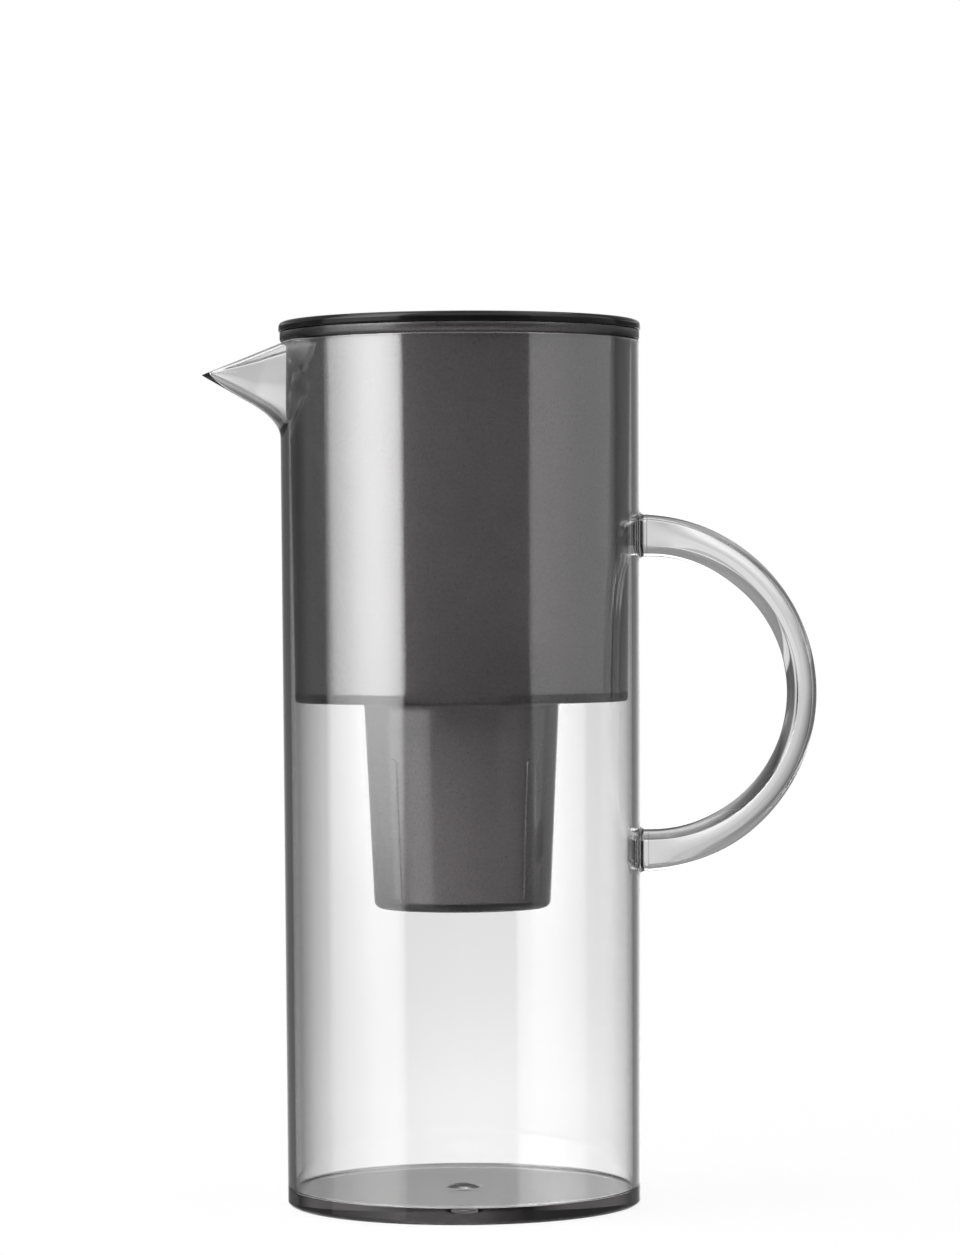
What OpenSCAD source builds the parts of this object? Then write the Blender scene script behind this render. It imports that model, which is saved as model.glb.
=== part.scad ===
// Cylindrical water filter jug with a beak spout and a ring handle.
// A drop-in hopper hangs in the jug's mouth and carries a filter cartridge in the cup under its floor.
// Millimetres, +Z up. The origin is on the jug's axis at the table, the spout points to -X
// and the handle to +X.

/* [Jug] */
// Height of the jug from the table to its rim
jug_h = 280.3; // [255:0.1:310]
// Outer diameter of the jug at the rim
rim_d = 117.2; // [112:0.1:124]
// How much narrower the jug is at the foot, on each side
foot_inset = 1.1; // [0.2:0.1:3]
// Thickness of the jug's wall
wall_t = 2.5; // [2:0.1:3]
// Thickness of the jug's floor
floor_t = 5; // [4:0.1:8]
// Radius of the outer edge of the foot
foot_edge_r = 1.2; // [0.6:0.1:2]
// Radius between the wall and the floor inside
floor_fillet_r = 1; // [0.6:0.1:4]
// Radius of the rim's two edges
lip_r = 0.5; // [0.2:0.1:0.8]
// Diameter of the raised dome over the moulding gate
gate_d = 11.4; // [9:0.1:16]
// Rise of that dome, and depth of the recess under it
gate_rise = 1.4; // [0.8:0.1:2]
// Diameter of the gate's stub in the recess
gate_stub_d = 2.6; // [1.5:0.1:4]
// Height of the stub's end above the table
gate_stub_lift = 0.5; // [0.3:0.1:0.6]

/* [Spout] */
// Reach of the spout's tip beyond the rim
spout_reach = 25.7; // [20:0.1:32]
// Drop of the tip below the rim
spout_drop = 10.2; // [6:0.1:13]
// Slope of the spout's top edge
spout_rise = 18.3; // [15:0.1:22]
// Slope of the keel under the spout
keel_slope = 30.2; // [26:0.1:34]
// Azimuth from the spout's middle at which it leaves the rim
spout_root_a = 34; // [30:0.5:37]
// Size of the hollow blend between the keel and the wall
spout_blend = 10; // [5:0.5:12]
// Thickness of the spout's sides
spout_t = 2.2; // [1.6:0.1:3]

/* [Handle] */
// Height of the handle's middle above the table
handle_z = 165.7; // [150:0.1:180]
// Radius of the arc round the fingers
grip_r = 44.4; // [38:0.1:48]
// Thickness of the handle at its two ends
handle_end_t = 13.8; // [12:0.1:16]
// Thickness of the handle at its middle
handle_mid_t = 9.7; // [8:0.1:12]
// Width of the handle from side to side
handle_w = 14; // [11:0.1:18]
// Rise of the handle's inner side over its edges
inner_bulge = 3.3; // [1:0.1:4]
// Rise of the handle's outer side over its edges
outer_bulge = 2; // [1:0.1:3]
// Radius of the handle's long edges
handle_edge_r = 0.5; // [0.3:0.1:1]
// Distance from the wall to the centre of the arc round the fingers
grip_offset = 3.6; // [3.5:0.1:6]
// Length of the bosses that carry the handle
boss_l = 2.4; // [2.1:0.1:3.4]
// Radius of the hollow flare where a boss meets the wall
boss_flare_r = 1.6; // [0.8:0.1:1.8]

/* [Hopper] */
// Depth of the hopper below the rim
hopper_depth = 117.1; // [100:0.1:125]
// Thickness of the hopper's wall
hopper_wall_t = 2.2; // [1.6:0.1:3]
// Thickness of the hopper's floor
hopper_floor_t = 3; // [2:0.1:4]
// Radius of the hopper's lower edge
hopper_edge_r = 1.2; // [0.6:0.1:1.8]
// Radius between the hopper's wall and floor inside
hopper_fillet_r = 1.2; // [0.6:0.1:6]
// Thickness of the flange that hangs on the rim
flange_t = 3.4; // [2.6:0.1:5]
// Radius of the flange's lower edge
flange_edge_r = 1.2; // [0.5:0.1:1.6]
// Height of the shoulder that centres the hopper in the rim
shoulder_h = 2.7; // [1.5:0.1:5]
// Half angle of the gap in the shoulder that lets water reach the spout
pour_gap_a = 38; // [30:1:50]

/* [Filter cup] */
// Depth of the cup below the hopper's floor
cup_depth = 67.1; // [60:0.1:75]
// Outer diameter of the cup at its top
cup_top_d = 63.6; // [60:0.1:68]
// Outer diameter of the cup at its bottom
cup_bottom_d = 57.4; // [54:0.1:59]
// Thickness of the cup's wall
cup_wall_t = 2.1; // [1.6:0.1:2.6]
// Thickness of the cup's floor
cup_floor_t = 2.8; // [2:0.1:4]
// Radius of the cup's lower edge
cup_edge_r = 2.4; // [1:0.1:3]
// Radius of the hollow flare between the cup and the hopper's floor
cup_flare_r = 2.2; // [1:0.1:4]
// Depth of the seal's ledge below the hopper's underside
ledge_depth = 6; // [4:0.1:9]
// Width of the seal's ledge
ledge_w = 0.9; // [0.7:0.05:1.1]
// Number of ribs down the cup
cup_rib_n = 4; // [3:1:8]
// Azimuth of the first rib, from the handle
cup_rib_a = 45; // [0:5:90]
// Width of a cup rib
cup_rib_w = 3.3; // [2:0.1:5]
// Height of a cup rib above the cup's wall
cup_rib_h = 0.6; // [0.3:0.1:1.2]
// Depth below the hopper's underside at which the ribs start
cup_rib_drop = 18; // [12:0.5:30]
// Number of outlet slots in the cup's floor
outlet_slot_n = 8; // [4:1:12]
// Width of an outlet slot
outlet_slot_w = 3; // [2:0.1:4]
// Inner radius of the ring of outlet slots
outlet_slot_r1 = 8; // [7:0.5:10]
// Outer radius of the ring of outlet slots
outlet_slot_r2 = 20; // [15:0.5:21]

/* [Lid] */
// Thickness of the lid at its edge
lid_t = 3.2; // [2.6:0.1:5]
// Radius of the lid's upper edge
lid_edge_r = 1.6; // [0.8:0.1:2]
// Reach of the lid beyond the hopper's flange
lid_overhang = 0.4; // [0:0.1:1.5]
// Depth of the lid's skirt inside the hopper's mouth
skirt_h = 3; // [2:0.1:8]
// Thickness of the lid's skirt
skirt_t = 1.6; // [1.2:0.1:2.4]
// Depth of the recess under the lid, inside the skirt
lid_recess = 1; // [0.4:0.1:1.4]

/* [Cartridge] */
// Height of the seal ring
seal_t = 1.6; // [1:0.1:2.5]
// Thickness of the cartridge's rim
cart_rim_t = 2; // [1.4:0.1:3]
// Thickness of the cartridge's wall
cart_wall_t = 1.4; // [1:0.1:2]
// Thickness of the cartridge's floor
cart_floor_t = 1.6; // [1:0.1:2.4]
// Gap between the cartridge's bottom and the cup's floor
cart_foot_gap = 1.6; // [1:0.1:3]
// Thickness of the two sieves
sieve_t = 1; // [0.6:0.1:1.6]
// Width of a slot in the sieves
sieve_slot_w = 1.5; // [1:0.1:2]
// Thickness of a fleece disc
fleece_t = 2; // [1:0.1:4]
// Share of the bed's height that the carbon fills
carbon_share = 0.47; // [0.3:0.01:0.7]
// Depth of the cap's plug inside the cartridge
cap_plug_h = 3.6; // [2:0.1:5]
// Thickness of the cap's wall
cap_wall_t = 1.6; // [1.2:0.1:2.2]
// Height of the cap's side, which stands above the hopper's floor
cap_side_h = 17; // [13:0.5:20]
// Draft of the cap's side, in radius
cap_draft = 1; // [0.5:0.1:2]
// Rise of the cap's dome
cap_dome_h = 7; // [5:0.5:10]
// Number of inlet slots round the cap
inlet_slot_n = 24; // [12:1:30]
// Width of an inlet slot
inlet_slot_w = 2.2; // [1.6:0.1:3]
// Height of an inlet slot
inlet_slot_h = 8; // [5:0.1:9]
// Height of the grip above the dome
grip_h = 11; // [8:0.5:14]
// Length of the grip
grip_l = 26; // [20:0.5:32]
// Thickness of the grip
grip_t = 3.2; // [2.4:0.1:5]

/* [Fits] */
// Radial gap between the hopper's wall and the jug at the rim
hopper_gap = 0.5; // [0.4:0.05:1]
// Extra radial gap at the hopper's lower end, its draft
hopper_draft_gap = 0.85; // [0.4:0.05:1.5]
// Radial gap between the shoulder and the jug
shoulder_gap = 0.3; // [0.2:0.05:0.39]
// Radial gap between the lid's skirt and the hopper's mouth
skirt_gap = 0.4; // [0.3:0.05:0.8]
// Radial gap between the cartridge and the cup
cart_gap = 0.6; // [0.4:0.05:1]
// Radial gap between the cartridge's rim and the cup above the ledge
rim_gap = 0.5; // [0.35:0.05:0.6]
// Radial gap between the seal and the cup above the ledge
seal_gap = 0.3; // [0.2:0.05:0.35]
// Radial gap round the pieces packed inside the cartridge
pack_gap = 0.15; // [0.1:0.05:0.3]

/* [Hidden] */

$fn = 120;
// Steps of a quarter arc in an outline
arc_n = 6;
// Reach of a cutting shape past the face that it cuts
over = 1;

// Jug
rim_r = rim_d / 2;
foot_r = rim_r - foot_inset;
function jug_r(z) = foot_r + (rim_r - foot_r) * z / jug_h;
function bore_r(z) = jug_r(z) - wall_t;

// Spout: the sides lie on a cone whose point is the tip. The cone's axis and angle follow from the keel's
// slope and from the place where the side meets the rim.
tip_r = rim_r + spout_reach;
tip_z = jug_h - spout_drop;
root_dx = tip_r - rim_r * cos(spout_root_a);
root_dy = rim_r * sin(spout_root_a);
root_l = norm([root_dx, root_dy, spout_drop]);
cone_axis_a = atan((root_l * cos(keel_slope) - root_dx) / (spout_drop + root_l * sin(keel_slope)));
cone_half_a = cone_axis_a + keel_slope;
// Azimuth at which the side of the cone comes nearest to the jug's axis
spout_sector = 90 - atan(root_dy / root_dx);
// The channel's cone is the same one, set back so that the sides are spout_t thick
channel_back = spout_t / sin(cone_half_a);
channel_tip_r = tip_r - channel_back * cos(cone_axis_a);
channel_tip_z = tip_z + channel_back * sin(cone_axis_a);
// Depth below a wall's face at which the spout's surface ends
loft_sink = 0.2;
// Depth below the wall's face to which the beak and the bosses are rooted
root_depth = wall_t * 2 / 3;
// Depth of the channel's cut inside the wall
channel_core = 6;
// Columns and rows of the spout's surface
loft_cols = 32;
loft_rows_low = 14;
loft_rows_high = 5;
// Crowding of the columns towards the spout's middle
loft_crowd = 1.7;

// Handle
joint_x = jug_r(handle_z) + boss_l;
grip_x = jug_r(handle_z) + grip_offset;
outer_reach = grip_r + handle_mid_t;
outer_half_h = grip_r + handle_end_t;
outer_arc_r = (pow(outer_half_h, 2) + pow(outer_reach, 2)) / (2 * outer_reach);
outer_arc_x = grip_x + outer_reach - outer_arc_r;
boss_offset_z = grip_r + handle_end_t / 2;

// Hopper
rim_z = jug_h;
flange_top = rim_z + flange_t;
hopper_bottom = rim_z - hopper_depth;
hopper_floor_z = hopper_bottom + hopper_floor_t;
hopper_top_r = bore_r(rim_z) - hopper_gap;
hopper_low_r = bore_r(hopper_bottom) - hopper_gap - hopper_draft_gap;
hopper_mouth_r = hopper_top_r - hopper_wall_t;
hopper_low_in_r = hopper_low_r - hopper_wall_t;
shoulder_r = bore_r(rim_z) - shoulder_gap;

// Filter cup
cup_top_r = cup_top_d / 2;
cup_low_r = cup_bottom_d / 2;
cup_bottom = hopper_bottom - cup_depth;
cup_floor_z = cup_bottom + cup_floor_t;
ledge_z = hopper_bottom - ledge_depth;
cup_flare_z = hopper_bottom - cup_flare_r;
function cup_r(z) = cup_low_r + (cup_top_r - cup_low_r) * (z - cup_bottom) / cup_depth;
function cup_in_r(z) = cup_r(z) - cup_wall_t;
seat_r = cup_in_r(ledge_z) + ledge_w;
cup_draft_a = atan((cup_top_r - cup_low_r) / cup_depth);

// Lid
lid_z = flange_top;
lid_r = rim_r + lid_overhang;
skirt_r = hopper_mouth_r - skirt_gap;

// Cartridge
cart_rim_z = ledge_z + seal_t;
cap_z = cart_rim_z + cart_rim_t;
cart_bottom = cup_floor_z + cart_foot_gap;
cart_floor_z = cart_bottom + cart_floor_t;
cart_rim_r = seat_r - rim_gap;
seal_r = seat_r - seal_gap;
function cart_r(z) = cup_in_r(z) - cart_gap;
function cart_in_r(z) = cart_r(z) - cart_wall_t;
function pack_r(z) = cart_in_r(z) - pack_gap;
sieve_top_z = cap_z - cap_plug_h;
inlet_sieve_z = sieve_top_z - sieve_t;
outlet_fleece_z = cart_floor_z + sieve_t;
resin_z = outlet_fleece_z + fleece_t;
bed_h = inlet_sieve_z - resin_z - fleece_t;
separator_z = resin_z + bed_h * (1 - carbon_share);
carbon_z = separator_z + fleece_t;
cap_plug_r = cart_in_r(sieve_top_z) - pack_gap;
cap_side_top = cap_z + cap_side_h;
cap_top_r = cart_rim_r - cap_draft;
dome_r = (pow(cap_top_r, 2) + pow(cap_dome_h, 2)) / (2 * cap_dome_h);
cap_top = cap_side_top + cap_dome_h;

// Points of an arc round [x, y], from angle a0 to angle a1
function arc(x, y, r, a0, a1, n = arc_n) =
    [for (i = [0 : n]) let (a = a0 + (a1 - a0) * i / n) [x + r * cos(a), y + r * sin(a)]];

// Points of a low dome on the axis, from its edge at radius a and height z up to its crown at z + h
function dome(a, h, z, n = arc_n) =
    let (r = (a * a + h * h) / (2 * h), half = asin(a / r)) arc(0, z + h - r, r, 90 - half, 90, n);

function reversed(points) = [for (i = [len(points) - 1 : -1 : 0]) points[i]];

// The larger of two lengths, with a hollow blend of size k where they are close
function blend_max(a, b, k) =
    k <= 0 ? max(a, b) : max(a, b) + pow(max(k - abs(a - b), 0), 2) / (4 * k);

// Distance from the jug's axis at which a level ray at azimuth phi leaves a cone round the spout
function cone_exit(phi, z, point_r, point_z) =
    let (dz = z - point_z, c = pow(cos(cone_half_a), 2))
    let (p = point_r * cos(cone_axis_a) + dz * sin(cone_axis_a), q = cos(phi) * cos(cone_axis_a))
    let (k2 = q * q - c, k1 = 2 * (c * point_r * cos(phi) - p * q))
    let (k0 = p * p - c * (point_r * point_r + dz * dz))
    2 * k0 / (-k1 + sqrt(max(k1 * k1 - 4 * k2 * k0, 0)));

// Blend of the spout's keel, fading out towards its sides
function keel_blend(phi) = spout_blend * pow(max(1 - pow(phi / spout_sector, 2), 0), 2);

function loft_phi(i) =
    let (s = 2 * i / loft_cols - 1) spout_sector * sign(s) * pow(abs(s), loft_crowd);

// Heights of the loft's rows: up to the cone's point, then on to the top
function loft_heights(low, point_z, top) = concat(
    [for (j = [0 : loft_rows_low]) low + (point_z - low) * j / loft_rows_low],
    [for (j = [1 : loft_rows_high]) point_z + (top - point_z) * j / loft_rows_high]);

// Lowest height at which the keel still lifts the blended surface off a wall of radius r
function keel_foot(point_r, point_z, r) = point_z - (point_r - r + spout_blend) * tan(keel_slope) - over;

function polar(r, phi, z) = [-r * cos(phi), r * sin(phi), z];

// Solid between two grids of points, which have the same rows and columns
module loft_between(outer, inner) {
    rows = len(outer);
    cols = len(outer[0]);
    size = rows * cols;
    function at(j, i) = j * cols + i;
    function deep(j, i) = size + at(j, i);
    function quad(a, b, c, d) = [[a, c, b], [a, d, c]];
    faces = concat(
        [for (j = [0 : rows - 2], i = [0 : cols - 2])
            each quad(at(j, i), at(j + 1, i), at(j + 1, i + 1), at(j, i + 1))],
        [for (j = [0 : rows - 2], i = [0 : cols - 2])
            each quad(deep(j, i), deep(j, i + 1), deep(j + 1, i + 1), deep(j + 1, i))],
        [for (j = [0 : rows - 2])
            each quad(at(j, 0), deep(j, 0), deep(j + 1, 0), at(j + 1, 0))],
        [for (j = [0 : rows - 2])
            each quad(at(j, cols - 1), at(j + 1, cols - 1), deep(j + 1, cols - 1), deep(j, cols - 1))],
        [for (i = [0 : cols - 2])
            each quad(at(0, i), at(0, i + 1), deep(0, i + 1), deep(0, i))],
        [for (i = [0 : cols - 2])
            each quad(at(rows - 1, i), deep(rows - 1, i), deep(rows - 1, i + 1), at(rows - 1, i + 1))]);
    polyhedron(points = concat([for (row = outer) each row], [for (row = inner) each row]), faces = faces);
}

// Beak of the spout, solid from its outside into the jug's wall
module spout_beak() {
    heights = loft_heights(keel_foot(tip_r, tip_z, rim_r - loft_sink), tip_z, jug_h);
    loft_between(
        [for (z = heights) [for (i = [0 : loft_cols]) let (phi = loft_phi(i))
            polar(blend_max(jug_r(z) - loft_sink, cone_exit(phi, z, tip_r, tip_z),
                            keel_blend(phi)), phi, z)]],
        [for (z = heights) [for (i = [0 : loft_cols]) polar(jug_r(z) - root_depth, loft_phi(i), z)]]);
}

// Water's way from the jug into the spout
module spout_channel() {
    heights = loft_heights(keel_foot(channel_tip_r, channel_tip_z, rim_r - wall_t - loft_sink),
                           channel_tip_z, jug_h + over);
    loft_between(
        [for (z = heights) [for (i = [0 : loft_cols]) let (phi = loft_phi(i))
            polar(blend_max(bore_r(z) - loft_sink, cone_exit(phi, z, channel_tip_r, channel_tip_z),
                            keel_blend(phi)), phi, z)]],
        [for (z = heights) [for (i = [0 : loft_cols]) polar(bore_r(z) - channel_core, loft_phi(i), z)]]);
}

// Room above the sloping top edge of the spout
module spout_top_cut() {
    translate([-tip_r, 0, tip_z])
        rotate([0, -spout_rise, 0])
            translate([-spout_reach, -rim_r, 0])
                cube([spout_reach + tip_r, rim_d, spout_drop + over]);
}

// Half of the section through the jug's wall and floor
module jug_section() {
    recess_r = gate_d / 2 - gate_rise;
    polygon(concat(
        reversed(dome(recess_r, gate_rise, 0)),
        arc(foot_r - foot_edge_r, foot_edge_r, foot_edge_r, -90, 0),
        arc(rim_r - lip_r, jug_h - lip_r, lip_r, 0, 90),
        arc(rim_r - wall_t + lip_r, jug_h - lip_r, lip_r, 90, 180),
        reversed(arc(bore_r(floor_t + floor_fillet_r) - floor_fillet_r, floor_t + floor_fillet_r,
                     floor_fillet_r, -90, 0)),
        dome(gate_d / 2, gate_rise, floor_t)));
}

// Bulged side of the handle's section, from one flat face to the other, widened by grow
function bulged_side(bulge, grow = 0) =
    let (w = handle_w / 2,
         e = handle_edge_r,
         r = (w * w + bulge * bulge) / (2 * bulge),
         c = sqrt(pow(r - e, 2) - pow(w - e, 2)),
         b = atan2(w - e, c),
         step = b / arc_n)
    concat(arc(c - r, e - w, e + grow, -90, -b), arc(-r, 0, r + grow, step - b, b - step, 2 * arc_n - 2),
           arc(c - r, w - e, e + grow, b, 90));

// Outline of the handle's upper end, widened by grow
function handle_end(grow) = concat(
    [for (p = reversed(bulged_side(outer_bulge, grow))) [p[1], handle_end_t / 2 + p[0]]],
    [for (p = bulged_side(inner_bulge, grow)) [p[1], -handle_end_t / 2 - p[0]]]);

// Boss on the wall that the handle's end is welded to, with a hollow flare at its foot: up is 1 for the
// upper boss and -1 for the lower one
module handle_boss(z, up) {
    wall_x = jug_r(z);
    foot_x = wall_x - root_depth;
    flare_end = wall_x + boss_flare_r;
    stations = concat(
        [[foot_x, boss_flare_r]],
        [for (i = [0 : arc_n]) let (a = 90 * i / arc_n)
            [flare_end - boss_flare_r * cos(a), boss_flare_r * (1 - sin(a))]],
        [[joint_x, 0]]);
    ring_n = len(handle_end(0));
    points = [for (s = stations) each [for (p = handle_end(s[1])) [s[0], up * p[0], z + up * p[1]]]];
    last = (len(stations) - 1) * ring_n;
    polyhedron(points = points, faces = concat(
        [[for (i = [0 : ring_n - 1]) i]],
        [[for (i = [ring_n - 1 : -1 : 0]) last + i]],
        [for (j = [0 : len(stations) - 2], i = [0 : ring_n - 1])
            let (a = j * ring_n + i, b = j * ring_n + (i + 1) % ring_n)
            each [[a, a + ring_n, b + ring_n], [a, b + ring_n, b]]]));
}

// Jug: wall, floor, spout and the two handle bosses in one clear moulding
module jug_body() color([0.55, 0.55, 0.56, 0.45]) {
    difference() {
        union() {
            rotate_extrude() jug_section();
            spout_beak();
        }
        spout_channel();
        spout_top_cut();
    }
    handle_boss(handle_z + boss_offset_z, 1);
    handle_boss(handle_z - boss_offset_z, -1);
    translate([0, 0, gate_stub_lift]) cylinder(d = gate_stub_d, h = floor_t / 2 - gate_stub_lift);
}

// Handle: a crescent between two arcs, with flat faces and bulged inner and outer sides
module handle() color([0.6, 0.6, 0.61, 0.45])
    translate([0, 0, handle_z])
        rotate([90, 0, 0])
            difference() {
                intersection() {
                    translate([outer_arc_x, 0, 0]) rotate_extrude() handle_outer_section();
                    translate([grip_x, 0, 0]) rotate_extrude() handle_inner_section();
                }
                translate([joint_x - outer_arc_r * 2, -outer_arc_r * 2, -handle_w])
                    cube([outer_arc_r * 2, outer_arc_r * 4, handle_w * 2]);
            }

// Disc inside the handle's outer arc, with a bulged side
module handle_outer_section() {
    h = handle_w / 2;
    polygon(concat([[0, -h]], [for (p = bulged_side(outer_bulge)) [outer_arc_r + p[0], p[1]]], [[0, h]]));
}

// Ring outside the handle's inner arc, with a bulged side
module handle_inner_section() {
    h = handle_w / 2;
    far = outer_arc_r * 2;
    polygon(concat([[far, h]], [for (p = reversed(bulged_side(inner_bulge))) [grip_r - p[0], p[1]]],
                   [[far, -h]]));
}

// Half of the section through the hopper and its filter cup
module hopper_section() {
    polygon(concat(
        arc(rim_r - lip_r, flange_top - lip_r, lip_r, 90, 0),
        arc(rim_r - flange_edge_r, rim_z + flange_edge_r, flange_edge_r, 0, -90),
        [[shoulder_r, rim_z], [shoulder_r, rim_z - shoulder_h], [hopper_top_r, rim_z - shoulder_h]],
        arc(hopper_low_r - hopper_edge_r, hopper_bottom + hopper_edge_r, hopper_edge_r, 0, -90),
        arc(cup_r(cup_flare_z) + cup_flare_r, cup_flare_z, cup_flare_r, 90, 180),
        arc(cup_r(cup_bottom + cup_edge_r) - cup_edge_r, cup_bottom + cup_edge_r, cup_edge_r, 0, -90),
        [[0, cup_bottom], [0, cup_floor_z], [cup_in_r(cup_floor_z), cup_floor_z]],
        [[cup_in_r(ledge_z), ledge_z], [seat_r, ledge_z], [seat_r, hopper_floor_z]],
        arc(hopper_low_in_r - hopper_fillet_r, hopper_floor_z + hopper_fillet_r, hopper_fillet_r, -90, 0),
        [[hopper_mouth_r, flange_top]]));
}

// Rib down the outside of the cup, with a round upper end
module cup_rib() {
    rib_top = hopper_bottom - cup_rib_drop;
    rib_l = (rib_top - cup_bottom - cup_edge_r - cup_rib_w / 2) / cos(cup_draft_a);
    root = cup_wall_t / 2;
    translate([cup_r(rib_top - cup_rib_w / 2) - root, 0, rib_top - cup_rib_w / 2])
        rotate([0, cup_draft_a, 0]) {
            rotate([0, 90, 0]) cylinder(d = cup_rib_w, h = root + cup_rib_h);
            translate([0, -cup_rib_w / 2, -rib_l]) cube([root + cup_rib_h, cup_rib_w, rib_l]);
        }
}

// Ring of radial slots through a floor
module radial_slots(n, w, r1, r2, z, h) {
    for (i = [0 : n - 1])
        rotate([0, 0, 360 * i / n])
            translate([r1, -w / 2, z]) cube([r2 - r1, w, h]);
}

// Hopper with its flange, centring shoulder, floor and filter cup in one moulding
module hopper() color([0.2, 0.2, 0.21, 0.85])
    difference() {
        union() {
            rotate_extrude() hopper_section();
            for (i = [0 : cup_rib_n - 1])
                rotate([0, 0, cup_rib_a + 360 * i / cup_rib_n]) cup_rib();
        }
        radial_slots(outlet_slot_n, outlet_slot_w, outlet_slot_r1, outlet_slot_r2, cup_bottom - over,
                     cup_floor_t + 2 * over);
        rotate([0, 0, 180 - pour_gap_a])
            rotate_extrude(angle = 2 * pour_gap_a)
                translate([hopper_top_r, rim_z - shoulder_h - over])
                    square([shoulder_r - hopper_top_r + shoulder_gap / 2, shoulder_h + over]);
    }

// Lid: a disc that lies on the flange, with a skirt inside the hopper's mouth
module lid() color([0.06, 0.06, 0.065])
    rotate_extrude()
        polygon(concat(
            [[0, lid_z + lid_recess], [0, lid_z + lid_t]],
            arc(lid_r - lid_edge_r, lid_z + lid_t - lid_edge_r, lid_edge_r, 90, 0),
            arc(lid_r - lip_r, lid_z + lip_r, lip_r, 0, -90),
            [[skirt_r, lid_z]],
            arc(skirt_r - lip_r, lid_z - skirt_h + lip_r, lip_r, 0, -90),
            [[skirt_r - skirt_t, lid_z - skirt_h], [skirt_r - skirt_t, lid_z + lid_recess]]));

// Tapered shell of the cartridge with its rim and slotted floor
module cartridge_shell() color([0.86, 0.87, 0.88])
    difference() {
        rotate_extrude()
            polygon([[0, cart_bottom], [cart_r(cart_bottom), cart_bottom], [cart_r(cart_rim_z), cart_rim_z],
                     [cart_rim_r, cart_rim_z], [cart_rim_r, cap_z], [cart_in_r(cap_z), cap_z],
                     [cart_in_r(cart_floor_z), cart_floor_z], [0, cart_floor_z]]);
        radial_slots(outlet_slot_n, outlet_slot_w, outlet_slot_r1, outlet_slot_r2, cart_bottom - over,
                     cart_floor_t + 2 * over);
    }

// Outline of the grip on the cap, rounded at its top corners
module grip_outline() {
    r = grip_h / 2;
    polygon(concat([[grip_l / 2, cap_side_top]], arc(grip_l / 2 - r, cap_top + grip_h - r, r, 0, 90),
                   arc(r - grip_l / 2, cap_top + grip_h - r, r, 90, 180), [[-grip_l / 2, cap_side_top]]));
}

// Domed cap with inlet slots round its side and a grip on its crown
module cartridge_cap() color([0.8, 0.82, 0.84]) {
    slot_z = (hopper_floor_z + cap_side_top - inlet_slot_h) / 2;
    dome_z = cap_top - dome_r;
    inner_r = dome_r - cap_wall_t;
    half_in = asin((cap_top_r - cap_wall_t) / inner_r);
    half_grip = asin((grip_l / 2 + over) / inner_r);
    difference() {
        rotate_extrude()
            polygon(concat(
                [[cap_plug_r - cap_wall_t, sieve_top_z], [cap_plug_r, sieve_top_z], [cap_plug_r, cap_z]],
                [[cart_rim_r, cap_z]],
                dome(cap_top_r, cap_dome_h, cap_side_top),
                reversed(arc(0, dome_z, inner_r, 90 - half_in, 90)),
                [[cap_plug_r - cap_wall_t, cap_z + cap_wall_t]]));
        for (i = [0 : inlet_slot_n - 1])
            rotate([0, 0, 360 * i / inlet_slot_n])
                translate([cap_plug_r - 2 * cap_wall_t, -inlet_slot_w / 2, slot_z])
                    cube([4 * cap_wall_t, inlet_slot_w, inlet_slot_h]);
    }
    difference() {
        rotate([90, 0, 0]) linear_extrude(grip_t, center = true) grip_outline();
        rotate_extrude() polygon(concat([[0, cap_side_top - over], [grip_l, cap_side_top - over]],
                                        arc(0, dome_z, dome_r - cap_wall_t / 2, 90 - half_grip, 90)));
    }
}

// Soft ring that closes the gap between the cartridge's rim and the cup's ledge
module cartridge_seal() color([0.25, 0.26, 0.27])
    rotate_extrude()
        polygon([[cart_r(cart_rim_z) + pack_gap, ledge_z], [seal_r, ledge_z], [seal_r, cart_rim_z],
                 [cart_r(cart_rim_z) + pack_gap, cart_rim_z]]);

// Disc or bed that fills the shell from height z up to z + h
module packed(z, h) translate([0, 0, z]) cylinder(r1 = pack_r(z), r2 = pack_r(z + h), h = h);

// Slotted disc that keeps the filter material in
module sieve(z)
    difference() {
        packed(z, sieve_t);
        radial_slots(outlet_slot_n, sieve_slot_w, outlet_slot_r1, outlet_slot_r2, z - over,
                     sieve_t + 2 * over);
    }

module inlet_sieve() color([0.9, 0.9, 0.9]) sieve(inlet_sieve_z);

module carbon_bed() color([0.07, 0.07, 0.07]) packed(carbon_z, inlet_sieve_z - carbon_z);

module separator_fleece() color([0.93, 0.93, 0.91]) packed(separator_z, fleece_t);

module resin_bed() color([0.72, 0.52, 0.26]) packed(resin_z, separator_z - resin_z);

module outlet_fleece() color([0.93, 0.93, 0.91]) packed(outlet_fleece_z, fleece_t);

module outlet_sieve() color([0.9, 0.9, 0.9]) sieve(cart_floor_z);

jug_body();
handle();
hopper();
lid();
cartridge_shell();
cartridge_cap();
cartridge_seal();
inlet_sieve();
carbon_bed();
separator_fleece();
resin_bed();
outlet_fleece();
outlet_sieve();
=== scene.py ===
"""Looks of a tall water filter jug: clear body and handle, dark hopper, glossy lid and filter cartridge."""

import functools
import logging
import math
from dataclasses import dataclass, field
from enum import Enum

import bmesh
import bpy
import numpy as np
from mathutils import Matrix, Vector


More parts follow.
